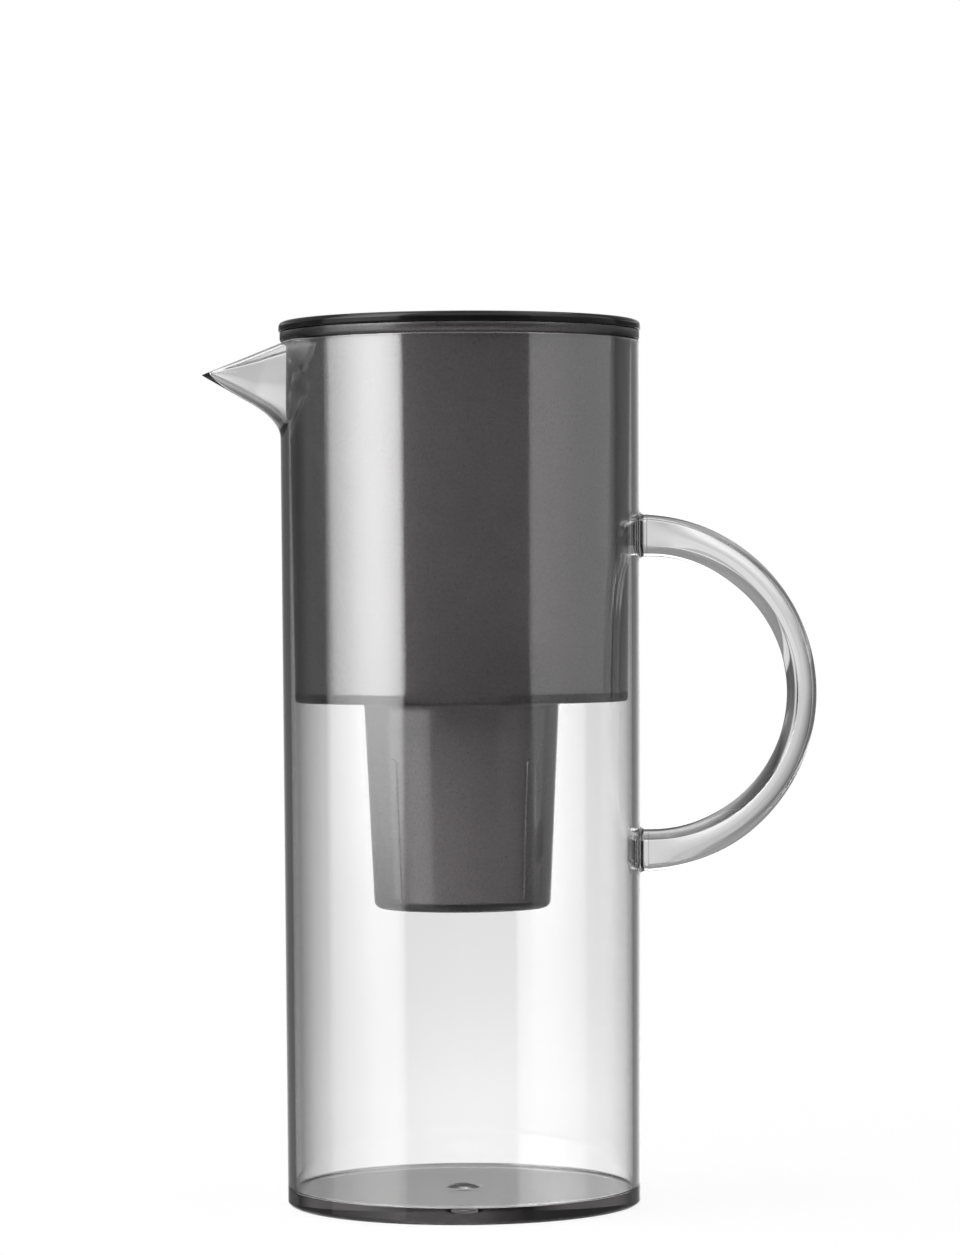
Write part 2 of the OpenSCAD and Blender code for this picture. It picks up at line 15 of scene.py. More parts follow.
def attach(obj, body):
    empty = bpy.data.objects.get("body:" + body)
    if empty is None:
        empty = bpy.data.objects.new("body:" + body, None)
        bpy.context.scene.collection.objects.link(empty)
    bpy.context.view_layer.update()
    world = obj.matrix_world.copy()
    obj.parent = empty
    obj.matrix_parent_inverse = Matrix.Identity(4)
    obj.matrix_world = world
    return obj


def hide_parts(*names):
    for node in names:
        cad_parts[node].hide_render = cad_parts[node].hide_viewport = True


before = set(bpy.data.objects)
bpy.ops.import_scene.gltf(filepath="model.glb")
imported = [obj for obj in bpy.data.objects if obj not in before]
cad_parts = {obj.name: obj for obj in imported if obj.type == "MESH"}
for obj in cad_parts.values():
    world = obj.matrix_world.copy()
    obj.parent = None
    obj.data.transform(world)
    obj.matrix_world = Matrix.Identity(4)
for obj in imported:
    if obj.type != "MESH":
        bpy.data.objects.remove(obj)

LOG = logging.getLogger("filter_jug")
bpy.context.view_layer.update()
MM = 0.001
WELD_M = 2e-7
SLIVER_M = 1e-7
SUPPORT_MAX = 0.4
SUPPORT_CLEAR = 1.5
LIGHT_BOUNCES = 32
NOISE_SPAN = (0.3, 0.7)
WHITE = (1.0, 1.0, 1.0, 1.0)
Grid = np.ndarray
Surface = tuple[Grid, Grid]
Marks = tuple[tuple[float, float], ...]
Rgb = tuple[float, float, float]
Node = bpy.types.Node
Socket = bpy.types.NodeSocket
Material = bpy.types.Material


class Body(Enum):
    """CAD bodies that the modelled pieces ride on."""

    JUG = "jug"
    HOPPER = "hopper"
    LID = "lid"


class Slot(Enum):
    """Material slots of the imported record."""

    CLEAR_SMOKE = "clear_smoke"
    DARK_SMOKE = "dark_smoke"
    BLACK_GLOSS = "black_gloss"


def arc(x: float, y: float, r: float, a0: float, a1: float, n: int = 8) -> Grid:
    """Points of a circular arc in a half section.

    Args:
        x: Centre's distance from the axis, in mm.
        y: Centre's height, in mm.
        r: Radius, in mm.
        a0: First angle, in degrees.
        a1: Last angle, in degrees.
        n: Number of steps.

    Returns:
        Array (n + 1, 2) of [x + r cos a, y + r sin a].
    """
    a = np.radians(np.linspace(a0, a1, n + 1))
    return np.stack([x + r * np.cos(a), y + r * np.sin(a)], axis=1)


def line(p: tuple[float, float], q: tuple[float, float], n: int, support: float) -> Grid:
    """Points of a straight stretch of a half section, without its two ends.

    Args:
        p: Start [radius, height], in mm.
        q: End, in mm.
        n: Number of even steps.
        support: Distance of an extra point from each end, in mm, which keeps the shading of the ends local.

    Returns:
        Array (m, 2) of the points between p and q.
    """
    a, b = np.asarray(p, float), np.asarray(q, float)
    t = np.linspace(0, 1, n + 1)[1:-1]
    edge = support / float(np.linalg.norm(b - a))
    if edge < SUPPORT_MAX:
        clear = SUPPORT_CLEAR * edge
        t = np.concatenate([[edge], t[(t > clear) & (t < 1 - clear)], [1 - edge]])
    return a + t[:, None] * (b - a)


def dome(a: float, h: float, z: float, n: int) -> Grid:
    """Points of a low dome on the axis, from its edge at radius a up to its crown.

    Args:
        a: Radius of the edge, in mm.
        h: Rise, in mm.
        z: Height of the edge, in mm.
        n: Number of steps.

    Returns:
        Array (n + 1, 2) on the circle of radius (a^2 + h^2) / 2h through the edge and the crown.
    """
    r = (a * a + h * h) / (2 * h)
    half = math.degrees(math.asin(a / r))
    return arc(0, z + h - r, r, 90 - half, 90, n)


def blend_max(a: Grid, b: Grid, k: Grid) -> Grid:
    """Larger of a and b, rounded by (k - |a - b|)^2 / 4k where they differ by less than k."""
    k = np.maximum(k, 1e-6)
    return np.maximum(a, b) + np.maximum(k - np.abs(a - b), 0) ** 2 / (4 * k)


def smooth(t: Grid) -> Grid:
    """Step from 0 to 1 that starts and ends gently: 3 t^2 - 2 t^3."""
    return t * t * (3 - 2 * t)


def spread(profile: Grid, columns: int) -> Surface:
    """Radii and heights (rows, columns) of a half section that is the same at every azimuth."""
    return tuple(np.repeat(side[:, None], columns, 1) for side in profile.T)


def turned(r: Grid, z: Grid, phi: Grid) -> Grid:
    """Points [-r cos phi, r sin phi, z] in mm: azimuth phi counts from the spout, which points to -X."""
    return np.stack([-r * np.cos(phi), r * np.sin(phi), z + 0 * r], axis=-1)


def numbers(grid: Grid) -> Grid:
    """Vertex numbers of a grid of points (rows, columns, ...), row by row."""
    return np.arange(grid.shape[0] * grid.shape[1]).reshape(grid.shape[:2])


def grid_faces(index: Grid, keep: Grid | None = None) -> Grid:
    """Quads between neighbouring rows and columns of a grid that is closed round its columns.

    Args:
        index: Array (rows, columns) of vertex numbers.
        keep: Optional array (rows - 1, columns) that is False where a quad is left out.

    Returns:
        Array (m, 4) of vertex numbers.
    """
    beside = np.roll(index, -1, axis=1)
    quads = np.stack([index[:-1], beside[:-1], beside[1:], index[1:]], axis=-1)
    return quads.reshape(-1, 4) if keep is None else quads[keep]


def slot_walls(low: Grid, high: Grid, open_cells: Grid) -> Grid:
    """Quads round the openings that pass from one surface to its twin.

    Args:
        low: Vertex numbers (rows, columns) of the first surface, closed round its columns.
        high: Vertex numbers of the twin surface, in the same order.
        open_cells: Array (rows - 1, columns), True where a cell is open.

    Returns:
        Array (m, 4): a quad on each cell edge between an open and a closed cell.
    """
    low_n, high_n = np.roll(low, -1, axis=1), np.roll(high, -1, axis=1)
    left = open_cells & ~np.roll(open_cells, 1, axis=1)
    right = np.roll(open_cells & ~np.roll(open_cells, -1, axis=1), 1, axis=1)
    pad = np.pad(open_cells, ((1, 1), (0, 0)))
    first, last = pad[1:] & ~pad[:-1], pad[:-1] & ~pad[1:]
    return np.concatenate([
        np.stack([low[:-1], low[1:], high[1:], high[:-1]], -1)[left],
        np.stack([low[1:], low[:-1], high[:-1], high[1:]], -1)[right],
        np.stack([low_n, low, high, high_n], -1)[first],
        np.stack([low, low_n, high_n, high], -1)[last]])


def make_mesh(name: str, surface: Surface, sharp_deg: float) -> bpy.types.Mesh:
    """Puts a surface into a mesh, closes its seams and turns its faces outwards.

    Args:
        name: Mesh name.
        surface: Points (n, 3) in mm and quads (m, 4) of vertex numbers.
        sharp_deg: Edges sharper than this are shaded as edges.

    Returns:
        The mesh, in metres.
    """
    points, faces = surface
    mesh = bpy.data.meshes.new(name)
    mesh.vertices.add(len(points))
    mesh.vertices.foreach_set("co", (points * MM).astype(np.float32).ravel())
    mesh.loops.add(faces.size)
    mesh.loops.foreach_set("vertex_index", faces.astype(np.int32).ravel())
    mesh.polygons.add(len(faces))
    mesh.polygons.foreach_set("loop_start", np.arange(0, faces.size, 4, dtype=np.int32))
    mesh.update(calc_edges=True)
    mesh.validate()
    work = bmesh.new()
    work.from_mesh(mesh)
    bmesh.ops.remove_doubles(work, verts=work.verts, dist=WELD_M)
    bmesh.ops.dissolve_degenerate(work, edges=work.edges, dist=SLIVER_M)
    bmesh.ops.recalc_face_normals(work, faces=work.faces)
    work.to_mesh(mesh)
    work.free()
    mesh.polygons.foreach_set("use_smooth", np.ones(len(mesh.polygons), bool))
    mesh.set_sharp_from_angle(angle=math.radians(sharp_deg))
    return mesh


def place_piece(name: str, surface: Surface, node: str, body: Body, finish: Material,
                sharp_deg: float = 40.0) -> None:
    """Makes a piece at the origin that stands for its CAD node.

    Args:
        name: Piece name.
        surface: Points and quads.
        node: CAD node that it stands for.
        body: CAD body that it rides on.
        finish: Material.
        sharp_deg: Edges sharper than this are shaded as edges.
    """
    obj = bpy.data.objects.new(name, make_mesh(name, surface, sharp_deg))
    bpy.context.scene.collection.objects.link(obj)
    obj.data.materials.append(finish)
    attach(obj, body.value)
    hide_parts(node)
    LOG.info("%s: %d faces", name, len(obj.data.polygons))


class NodeBench:
    """Helper that makes and joins the nodes of a material or of the world."""

    def __init__(self, owner: Material | bpy.types.World, kind: str) -> None:
        """Empties the owner's node tree and gives it an output of this kind.

        Args:
            owner: Material or world.
            kind: Kind of output, Material or World.
        """
        owner.use_nodes = True
        self.owner, self.tree = owner, owner.node_tree
        self.tree.nodes.clear()
        self.out = self.new("Output" + kind)

    def feed(self, node: Node, inputs: dict[str | int, object]) -> None:
        """Joins or sets inputs of a node.

        Args:
            node: Node to feed.
            inputs: Socket names or numbers, each with the socket that feeds it or with a constant.
        """
        for key, value in inputs.items():
            if isinstance(value, Socket):
                self.tree.links.new(value, node.inputs[key])
            else:
                node.inputs[key].default_value = value

    def new(self, kind: str, inputs: dict[str | int, object] | None = None, operation: str = "") -> Node:
        """Makes a shader node and feeds it.

        Args:
            kind: Type of the node, without its prefix.
            inputs: As for feed.
            operation: Operation of a node that has several.

        Returns:
            The node.
        """
        node = self.tree.nodes.new("ShaderNode" + kind)
        if operation:
            node.operation = operation
        self.feed(node, inputs or {})
        return node

    def math(self, operation: str, *inputs: Socket | float) -> Socket:
        """Sum, product, comparison or other function of numbers, as a socket."""
        return self.new("Math", dict(enumerate(inputs)), operation).outputs[0]

    def mix(self, share: Socket, a: Node, b: Node) -> Node:
        """Mix of two shader nodes, with b's share as a socket."""
        return self.new("MixShader", {0: share, 1: a.outputs[0], 2: b.outputs[0]})

    def levels(self, source: Socket, marks: Marks) -> Socket:
        """Grey level that follows a number.

        Args:
            source: Socket of the number.
            marks: Pairs of number and level, in order. The first and the last level hold beyond them.

        Returns:
            Socket of the level.
        """
        low, high = marks[0][0], marks[-1][0]
        share = self.new("MapRange", {"Value": source, "From Min": low, "From Max": high})
        ramp = self.new("ValToRGB", {"Fac": share.outputs["Result"]})
        stops = ramp.color_ramp.elements
        stops.remove(stops[1])
        for at, level in marks:
            stop = stops.new((at - low) / (high - low)) if at > low else stops[0]
            stop.color = (level, level, level, 1)
        return ramp.outputs["Color"]


class FinishBench(NodeBench):
    """Bench of one material with a Principled shader on its output. Noises follow Object coordinates."""

    def __init__(self, name: str) -> None:
        """Starts the material.

        Args:
            name: Material name.
        """
        super().__init__(bpy.data.materials.new(name), "Material")
        self.shader = self.new("BsdfPrincipled")
        self.feed(self.out, {"Surface": self.shader.outputs["BSDF"]})
        self.place = self.new("TexCoord").outputs["Object"]

    def noise(self, scale: float, detail: float = 3.0, rough: float = 0.5,
              stretch: Rgb = (1, 1, 1)) -> Socket:
        """Noise of about 0 to 1.

        Args:
            scale: Cycles per metre.
            detail: Octaves.
            rough: Weight of the finer octaves.
            stretch: Scale along X, Y and Z.

        Returns:
            Socket of the noise.
        """
        place = self.new("Mapping", {"Vector": self.place, "Scale": stretch}).outputs["Vector"]
        inputs = {"Vector": place, "Scale": scale, "Detail": detail, "Roughness": rough}
        return self.new("TexNoise", inputs).outputs["Fac"]

    def ramp(self, source: Socket, low: float, high: float) -> Socket:
        """Number that runs from low to high over the middle range of a noise."""
        span = {"From Min": NOISE_SPAN[0], "From Max": NOISE_SPAN[1], "To Min": low, "To Max": high}
        return self.new("MapRange", {"Value": source, **span}).outputs["Result"]

    def tint(self, source: Socket, low: Rgb, high: Rgb) -> None:
        """Lets the base colour run from low to high over the middle range of a noise.

        Args:
            source: Socket of the noise.
            low: First colour.
            high: Last colour.
        """
        node = self.new("ValToRGB", {"Fac": source})
        for stop, at, colour in zip(node.color_ramp.elements, NOISE_SPAN, (low, high)):
            stop.position = at
            stop.color = (*colour, 1)
        self.feed(self.shader, {"Base Color": node.outputs["Color"]})

    def by_height(self, marks: Marks) -> Socket:
        """Grey level that follows the height in the object, in metres."""
        return self.levels(self.new("SeparateXYZ", {0: self.place}).outputs["Z"], marks)

    def bump(self, source: Socket, strength: float, depth: float) -> None:
        """Lifts the surface by a noise, depth in metres."""
        node = self.new("Bump", {"Height": source, "Strength": strength, "Distance": depth})
        self.feed(self.shader, {"Normal": node.outputs["Normal"]})

    def absorb(self, colour: Rgb, density: float) -> None:
        """Gives the material's inside an even absorption, density per metre."""
        node = self.new("VolumeAbsorption", {"Color": (*colour, 1), "Density": density})
        self.feed(self.out, {"Volume": node.outputs["Volume"]})


@dataclass(frozen=True)
class ClearPlastic:
    """Polished see-through plastic with a grey tint that deepens with its thickness."""

    name: str = "clear_smoke_plastic"
    ior: float = 1.54
    tint: Rgb = (0.075, 0.05, 0.055)
    density: float = 25.0
    rough: tuple[float, float] = (0.0, 0.03)
    flow: float = 35.0
    flow_stretch: Rgb = (1, 1, 0.25)
    low: Rgb = (0.985, 0.985, 0.985)
    high: Rgb = (1.0, 1.0, 1.0)
    haze: float = 400.0

    def build(self) -> Material:
        """Makes the material: faint moulding flow in its colour and gloss, even absorption inside.

        Returns:
            The material.
        """
        bench = FinishBench(self.name)
        flow = bench.noise(self.flow, 2.0, 0.5, self.flow_stretch)
        bench.tint(flow, self.low, self.high)
        gloss = bench.ramp(bench.noise(self.haze), *self.rough)
        bench.feed(bench.shader, {"Transmission Weight": 1.0, "IOR": self.ior, "Roughness": gloss})
        bench.absorb(self.tint, self.density)
        return bench.owner


@dataclass(frozen=True)
class FrostedPlastic:
    """Dark translucent plastic with a fine frosted grain. Marks run over the height in metres."""

    name: str = "dark_smoke_plastic"
    ior: float = 1.45
    tint: Rgb = (0.05, 0.03, 0.035)
    density: float = 520.0
    low: Rgb = (0.52, 0.475, 0.49)
    high: Rgb = (0.93, 0.855, 0.88)
    rough: tuple[float, float] = (0.26, 0.38)
    grain: float = 1400.0
    lift: float = 0.2
    relief: float = 0.0003
    coat_rough: float = 0.06
    coat_ior: float = 1.85
    # Milky share by height: the plastic's own milkiness on the wall, raised as painted light on the cup's
    # flare and the floor's edge band, and as a painted highlight on the flange's lower rounding.
    milk_with_painted_light: Marks = (
        (0.160, 0.125), (0.1628, 0.125), (0.1632, 0.1), (0.1645, 0.097), (0.1655, 0.085), (0.1660, 0.082),
        (0.1665, 0.058), (0.2798, 0.058), (0.2803, 0.1), (0.2815, 0.1), (0.2819, 0.02), (0.284, 0.02))
    milk_low: Marks = ((0.0955, 0.0), (0.0986, 0.0), (0.0994, 1.0), (0.101, 1.0))
    # Facing level at which the milky share fades out: painted light that is strongest where the wall faces
    # the viewer, and fades sooner on the floor's edge band.
    painted_facing_fade: Marks = (
        (0.160, 0.5), (0.1628, 0.5), (0.1632, 0.25), (0.1660, 0.25), (0.1664, 0.5), (0.170, 0.5))
    # Specular tint by height: weak on the floor's edge band, which is painted shade that dims its
    # reflections.
    specular_painted_shade: Marks = (
        (0.160, 1.0), (0.1628, 1.0), (0.1632, 0.15), (0.1660, 0.15), (0.1664, 1.0), (0.170, 1.0))
    # Coating weight by height: full on the wall and a little thinner on the cup; off on the floor's edge band
    # and thin on the flange as painted shade.
    coat_with_painted_shade: Marks = (
        (0.160, 0.9), (0.1630, 0.9), (0.1632, 0.0), (0.1660, 0.0), (0.1663, 1.0), (0.2798, 1.0),
        (0.2803, 0.1), (0.288, 0.1))

    def build(self) -> Material:
        """Makes the material: grain in its colour, gloss and relief, strong absorption inside, a gloss coat.

        The gloss coating is full on the wall and a little thinner on the cup. It is missing on the floor's
        edge and thin on the flange, which is painted shade, and so is the weak specular tint on the floor's
        edge.

        Returns:
            The material.
        """
        bench = FinishBench(self.name)
        grain = bench.noise(self.grain, 4.0, 0.75)
        bench.tint(grain, self.low, self.high)
        bench.bump(grain, self.lift, self.relief)
        bench.feed(bench.shader, {
            "Transmission Weight": self.clearness(bench), "IOR": self.ior,
            "Roughness": bench.ramp(grain, *self.rough), "Specular Tint": bench.by_height(self.specular_painted_shade),
            "Coat Weight": bench.by_height(self.coat_with_painted_shade), "Coat Roughness": self.coat_rough,
            "Coat IOR": self.coat_ior})
        bench.absorb(self.tint, self.density)
        return bench.owner

    def clearness(self, bench: FinishBench) -> Socket:
        """Share of light that goes through.

        Args:
            bench: Bench of the material.

        Returns:
            Socket of 1 less a milky share by height, which fades where the wall turns away from the viewer.
            The share is partly the plastic's own milkiness and partly painted light: it lightens the wall
            where it faces the viewer, the floor's edge band and the cup's flare below it, and it is a painted
            highlight on the flange's lower rounding.
        """
        level = bench.new("VectorMath", {0: bench.place, 1: (1, 1, 0)}, "MULTIPLY").outputs["Vector"]
        outward = bench.new("VectorMath", {0: level}, "NORMALIZE").outputs["Vector"]
        facing = bench.new("LayerWeight", {"Normal": outward}).outputs["Facing"]
        fade = bench.new("MapRange", {
            "Value": facing, "From Max": bench.by_height(self.painted_facing_fade), "To Min": -1.0, "To Max": 0.0})
        milk_with_painted_light = bench.math("MULTIPLY", bench.by_height(self.milk_with_painted_light), bench.by_height(self.milk_low))
        return bench.math("MULTIPLY_ADD", milk_with_painted_light, fade.outputs["Result"], 1.0)


@dataclass(frozen=True)
class GlossPlastic:
    """Opaque polished plastic."""

    name: str
    low: Rgb
    high: Rgb
    rough: tuple[float, float] = (0.06, 0.14)
    ior: float = 1.5
    shine: float = 0.12
    cloud: float = 70.0
    wipe: float = 90.0
    wipe_stretch: Rgb = (1, 4, 1)
    ripple: float = 900.0
    lift: float = 0.04
    relief: float = 0.0002

    def build(self) -> Material:
        """Makes the material: slight change of colour, wiping marks in its gloss, a faint ripple.

        Returns:
            The material.
        """
        bench = FinishBench(self.name)
        bench.tint(bench.noise(self.cloud, 4.0), self.low, self.high)
        gloss = bench.ramp(bench.noise(self.wipe, 6.0, 0.65, self.wipe_stretch), *self.rough)
        bench.feed(bench.shader, {"IOR": self.ior, "Specular IOR Level": self.shine, "Roughness": gloss})
        bench.bump(bench.noise(self.ripple, 2.0), self.lift, self.relief)
        return bench.owner


@dataclass(frozen=True)
class MattePlastic:
    """Opaque satin or matte moulded surface, also used for the soft and loose fillings."""

    name: str
    low: Rgb
    high: Rgb
    rough: tuple[float, float] = (0.42, 0.55)
    grain: float = 1200.0
    relief: float = 0.0003
    milky: float = 0.0
    lift: float = 0.35

    def build(self) -> Material:
        """Makes the material: colour, gloss and relief from one grain.

        Returns:
            The material.
        """
        bench = FinishBench(self.name)
        grain = bench.noise(self.grain, 4.0, 0.6)
        bench.tint(grain, self.low, self.high)
        gloss = bench.ramp(grain, *self.rough)
        bench.feed(bench.shader, {"Transmission Weight": self.milky, "Roughness": gloss})
        bench.bump(grain, self.lift, self.relief)
        return bench.owner


@dataclass(frozen=True)
class HandleSection:
    """Section of the handle: two flat faces between a bulged inner and a bulged outer side. Sizes in mm."""

    width: float = 14.0
    inner_bulge: float = 3.3
    outer_bulge: float = 2.0
    edge_r: float = 0.5
    flat_share: float = 0.96
    face_n: int = 11
    ray_n: int = 49
    edge_n: int = 6
    bulge_n: int = 40

    def side(self, bulge: float, grow: float = 0.0) -> Grid:
        """Bulged side from the front face to the back one.

        Args:
            bulge: Rise of the side's middle over its edges.
            grow: Distance by which the side is widened.

        Returns:
            Array (n, 2) of [offset, y]: an arc of radius (w^2 + bulge^2) / 2 bulge, with w half the width,
            that meets each face in a small rounded edge.
        """
        w, e = self.width / 2, self.edge_r
        r = (w * w + bulge * bulge) / (2 * bulge)
        c = math.sqrt((r - e) ** 2 - (w - e) ** 2)
        b = math.degrees(math.atan2(w - e, c))
        return np.concatenate([
            arc(c - r, e - w, e + grow, -90, -b, self.edge_n),
            arc(-r, 0, r + grow, -b, b, self.bulge_n)[1:-1],
            arc(c - r, w - e, e + grow, b, 90, self.edge_n)])

    def outline(self) -> Grid:
        """Whole section.

        Returns:
            Array (n, 3) of [share, offset, y]: a point lies at share times the way from the inner to the
            outer arc, plus offset. On the two flat faces all three run straight.
        """
        outer, inner = self.side(self.outer_bulge), self.side(self.inner_bulge)[::-1] * (-1, 1)
        rows = [np.column_stack([np.full(len(side), share), side])
                for share, side in ((1, outer), (0, inner))]
        t = np.linspace(1 - self.flat_share, self.flat_share, self.face_n)[:, None]
        faces = [p[-1] + t * (q[0] - p[-1]) for p, q in (rows, rows[::-1])]
        return np.concatenate([rows[0], faces[0], rows[1], faces[1]])

    def end_radius(self, turn: Grid, height: float, grow: float, up: int) -> Grid:
        """Distance from the middle of a handle's end to its outline, widened by grow.

        Args:
            turn: Angles of the rays, in radians, from the +Y axis towards +Z.
            height: Height of the end.
            grow: Distance by which the outline is widened.
            up: 1 where the outer side is on top, -1 where it is at the bottom.

        Returns:
            Array of distances, read from the outline's own points by angle.
        """
        outer, inner = self.side(self.outer_bulge, grow), self.side(self.inner_bulge, grow)
        y = np.concatenate([outer[:, 1], inner[:, 1]])
        z = up * np.concatenate([height / 2 + outer[:, 0], -height / 2 - inner[:, 0]])
        low, high = z[np.argmax(y - 1e-3 * z)], z[np.argmax(y + 1e-3 * z)]
        flat = np.linspace(-self.flat_share, self.flat_share, self.ray_n)
        flat_z = (low + high) / 2 + flat * (high - low) / 2
        y = np.concatenate([y, np.full_like(flat_z, y.max()), np.full_like(flat_z, y.min())])
        z = np.concatenate([z, flat_z, flat_z])
        order = np.argsort(np.arctan2(z, y))
        return np.interp(turn, np.arctan2(z, y)[order], np.hypot(y, z)[order], period=2 * np.pi)


@dataclass
class Jug:
    """Clear jug: wall, floor, beak spout and two bosses that carry the handle. Sizes in mm and degrees."""

    height: float = 280.3
    foot_r: float = 57.5
    rim_r: float = 58.6
    wall: float = 2.5
    floor: float = 5.0
    foot_edge: float = 1.2
    floor_fillet: float = 1.0
    lip: float = 0.55
    spout_lip: float = 0.5
    lip_ease: float = 10.0
    tip_thin: float = 0.85
    tip_span: float = 8.0
    gate_r: float = 5.7
    gate_rise: float = 1.4
    stub_r: float = 1.3
    stub_lift: float = 0.5
    stub_edge: float = 0.15
    stub_gap: float = 0.05
    spout_reach: float = 25.7
    spout_drop: float = 10.2
    spout_rise: float = 18.3
    spout_low: float = 238.0
    spout_span: float = 48.0
    spout_crowd: float = 1.5
    rim_turns: int = 80
    keel_slope: float = 30.2
    root_azimuth: float = 34.0
    keel_blend: float = 10.0
    spout_wall: float = 2.2
    handle_z: float = 165.7
    handle_span: float = 14.0
    grip_r: float = 44.4
    grip_offset: float = 3.6
    end_t: float = 13.8
    section: HandleSection = HandleSection()
    boss_l: float = 2.4
    boss_hole: float = 14.0
    flare_r: float = 1.6
    flare_level: float = 0.5
    flare_spare: float = 0.15
    patch_crowd: float = 0.8
    weld_gap: float = 0.06
    row_gap: float = 0.3
    row_slack: float = 0.01
    column_slack: float = 0.05
    spout_columns: int = 121
    side_columns: int = 93
    back_columns: int = 29
    inner_rows: int = 13
    outer_rows: tuple[int, ...] = (12, 28, 10, 28, 3)
    spout_rows: int = 53
    lip_rows: int = 13
    wall_rings: int = 9
    flare_rings: int = 11
    neck_shares: tuple[float, ...] = (0.35, 0.7, 0.93, 1.0)
    end_shares: tuple[float, ...] = (0.97, 0.6, 0.3, 0.0)

    def wall_r(self, z: Grid) -> Grid:
        """Outer radius of the drafted wall at height z."""
        return self.foot_r + (self.rim_r - self.foot_r) * z / self.height

    @property
    def tip_r(self) -> float:
        """Distance of the spout's tip from the axis."""
        return self.rim_r + self.spout_reach

    @property
    def tip_z(self) -> float:
        """Height of the spout's tip."""
        return self.height - self.spout_drop

    @property
    def joint_x(self) -> float:
        """Plane in which the handle meets its bosses."""
        return self.wall_r(self.handle_z) + self.boss_l

    @property
    def grip_x(self) -> float:
        """Distance of the grip arc's centre from the axis."""
        return self.wall_r(self.handle_z) + self.grip_offset

    def cone(self) -> tuple[float, float, float]:
        """Cone on which the spout's sides lie.

        Returns:
            Axis angle, half angle and limit azimuth, in radians. The cone passes through the keel's slope and
            the point where the side leaves the rim.
        """
        root = math.radians(self.root_azimuth)
        keel = math.radians(self.keel_slope)
        dx, dy = self.tip_r - self.rim_r * math.cos(root), self.rim_r * math.sin(root)
        reach = math.sqrt(dx * dx + dy * dy + self.spout_drop ** 2)
        axis = math.atan((reach * math.cos(keel) - dx) / (self.spout_drop + reach * math.sin(keel)))
        return axis, axis + keel, math.pi / 2 - math.atan(dy / dx)

    def cone_exit(self, phi: Grid, z: Grid, back: float) -> Grid:
        """Distance from the jug's axis at which a level ray leaves the spout's cone.

        Args:
            phi: Azimuth from the spout's middle, in radians.
            z: Height.
            back: Distance by which the cone's point is set back along its axis.

        Returns:
            First positive root r of (p - q r)^2 = c (L^2 - 2 L r cos phi + r^2 + dz^2), with c the square of
            the half angle's cosine, L the point's distance, p and q the ray's parts along the cone's axis.
        """
        axis, half, _ = self.cone()
        point_r = self.tip_r - back * math.cos(axis)
        dz = z - (self.tip_z + back * math.sin(axis))
        c = math.cos(half) ** 2
        p = point_r * math.cos(axis) + dz * math.sin(axis)
        q = np.cos(phi) * math.cos(axis)
        k2, k1 = q * q - c, 2 * (c * point_r * np.cos(phi) - p * q)
        k0 = p * p - c * (point_r ** 2 + dz ** 2)
        return 2 * k0 / (-k1 + np.sqrt(np.maximum(k1 * k1 - 4 * k2 * k0, 0)))

    def surface_r(self, phi: Grid, z: Grid, inside: bool) -> Grid:
        """Radius of the wall with its spout: the larger of wall and cone, with a blend that fades sideways.

        Args:
            phi: Azimuth from the spout's middle, in radians.
            z: Height.
            inside: Takes the inner face.

        Returns:
            Radius array.
        """
        _, half, limit = self.cone()
        base = self.wall_r(z) - (self.wall if inside else 0) + 0 * phi
        back = self.spout_wall / math.sin(half) if inside else 0.0
        blend = self.keel_blend * np.maximum(1 - (phi / limit) ** 2, 0) ** 2
        shaped = blend_max(base, self.cone_exit(phi, np.maximum(z, self.spout_low), back), blend)
        return np.where((np.abs(phi) < limit) & (z > self.spout_low), shaped, base)

    def rim_z(self, phi: Grid, inside: bool) -> Grid:
        """Height of the rim.

        Args:
            phi: Azimuth from the spout's middle, in radians.
            inside: Takes the inner face.

        Returns:
            Height array: level, but on the spout the plane that falls to the tip, found by repetition.
        """
        z = np.full_like(phi, self.tip_z)
        slope = math.tan(math.radians(self.spout_rise))
        for _ in range(self.rim_turns):
            x = self.surface_r(phi, z, inside) * np.cos(phi)
            z = 0.5 * z + 0.5 * np.minimum(self.height, self.tip_z + (self.tip_r - x) * slope)
        return np.where(np.abs(phi) < self.cone()[2], z, self.height)

    def columns(self) -> Grid:
        """Azimuths of the grid's columns.

        Returns:
            Array in radians, crowded at the spout and even at the handle.
        """
        share = np.linspace(-1, 1, self.spout_columns)
        spout = self.spout_span * np.sign(share) * np.abs(share) ** self.spout_crowd
        side = np.linspace(self.spout_span, 180 - self.handle_span, self.side_columns)
        back = np.linspace(180 - self.handle_span, 180 + self.handle_span, self.back_columns)
        return np.radians(np.concatenate([spout[:-1], side[:-1], back[:-1], 360 - side[::-1][:-1]]))

    def boss_heights(self) -> tuple[float, float]:
        """Heights of the middles of the two bosses."""
        offset = self.grip_r + self.end_t / 2
        return self.handle_z - offset, self.handle_z + offset

    def boss_patch(self, rim: Grid, z0: float, up: int) -> Surface:
        """Surface from a hole in the wall's grid to a boss with a hollow flare and a flat end.

        Args:
            rim: Points (n, 3) round the hole.
            z0: Height of the boss's middle.
            up: 1 for the upper boss, -1 for the lower one.

        Returns:
            Points and quads: rings that run from the hole along the wall, up the flare, along the boss and
            over its end, each an offset of the rounded outline of the handle's end.
        """
        turn = np.arctan2(rim[:, 2] - z0, rim[:, 1])
        order = np.argsort(turn)
        rim, turn = rim[order], turn[order]

        def outline(grow: float) -> Grid:
            """Outline of the handle's end, widened by grow, met by a ray at each angle."""
            rho = self.section.end_radius(turn, self.end_t, grow, up)
            return np.stack([rho * np.cos(turn), z0 + rho * np.sin(turn)], axis=1)

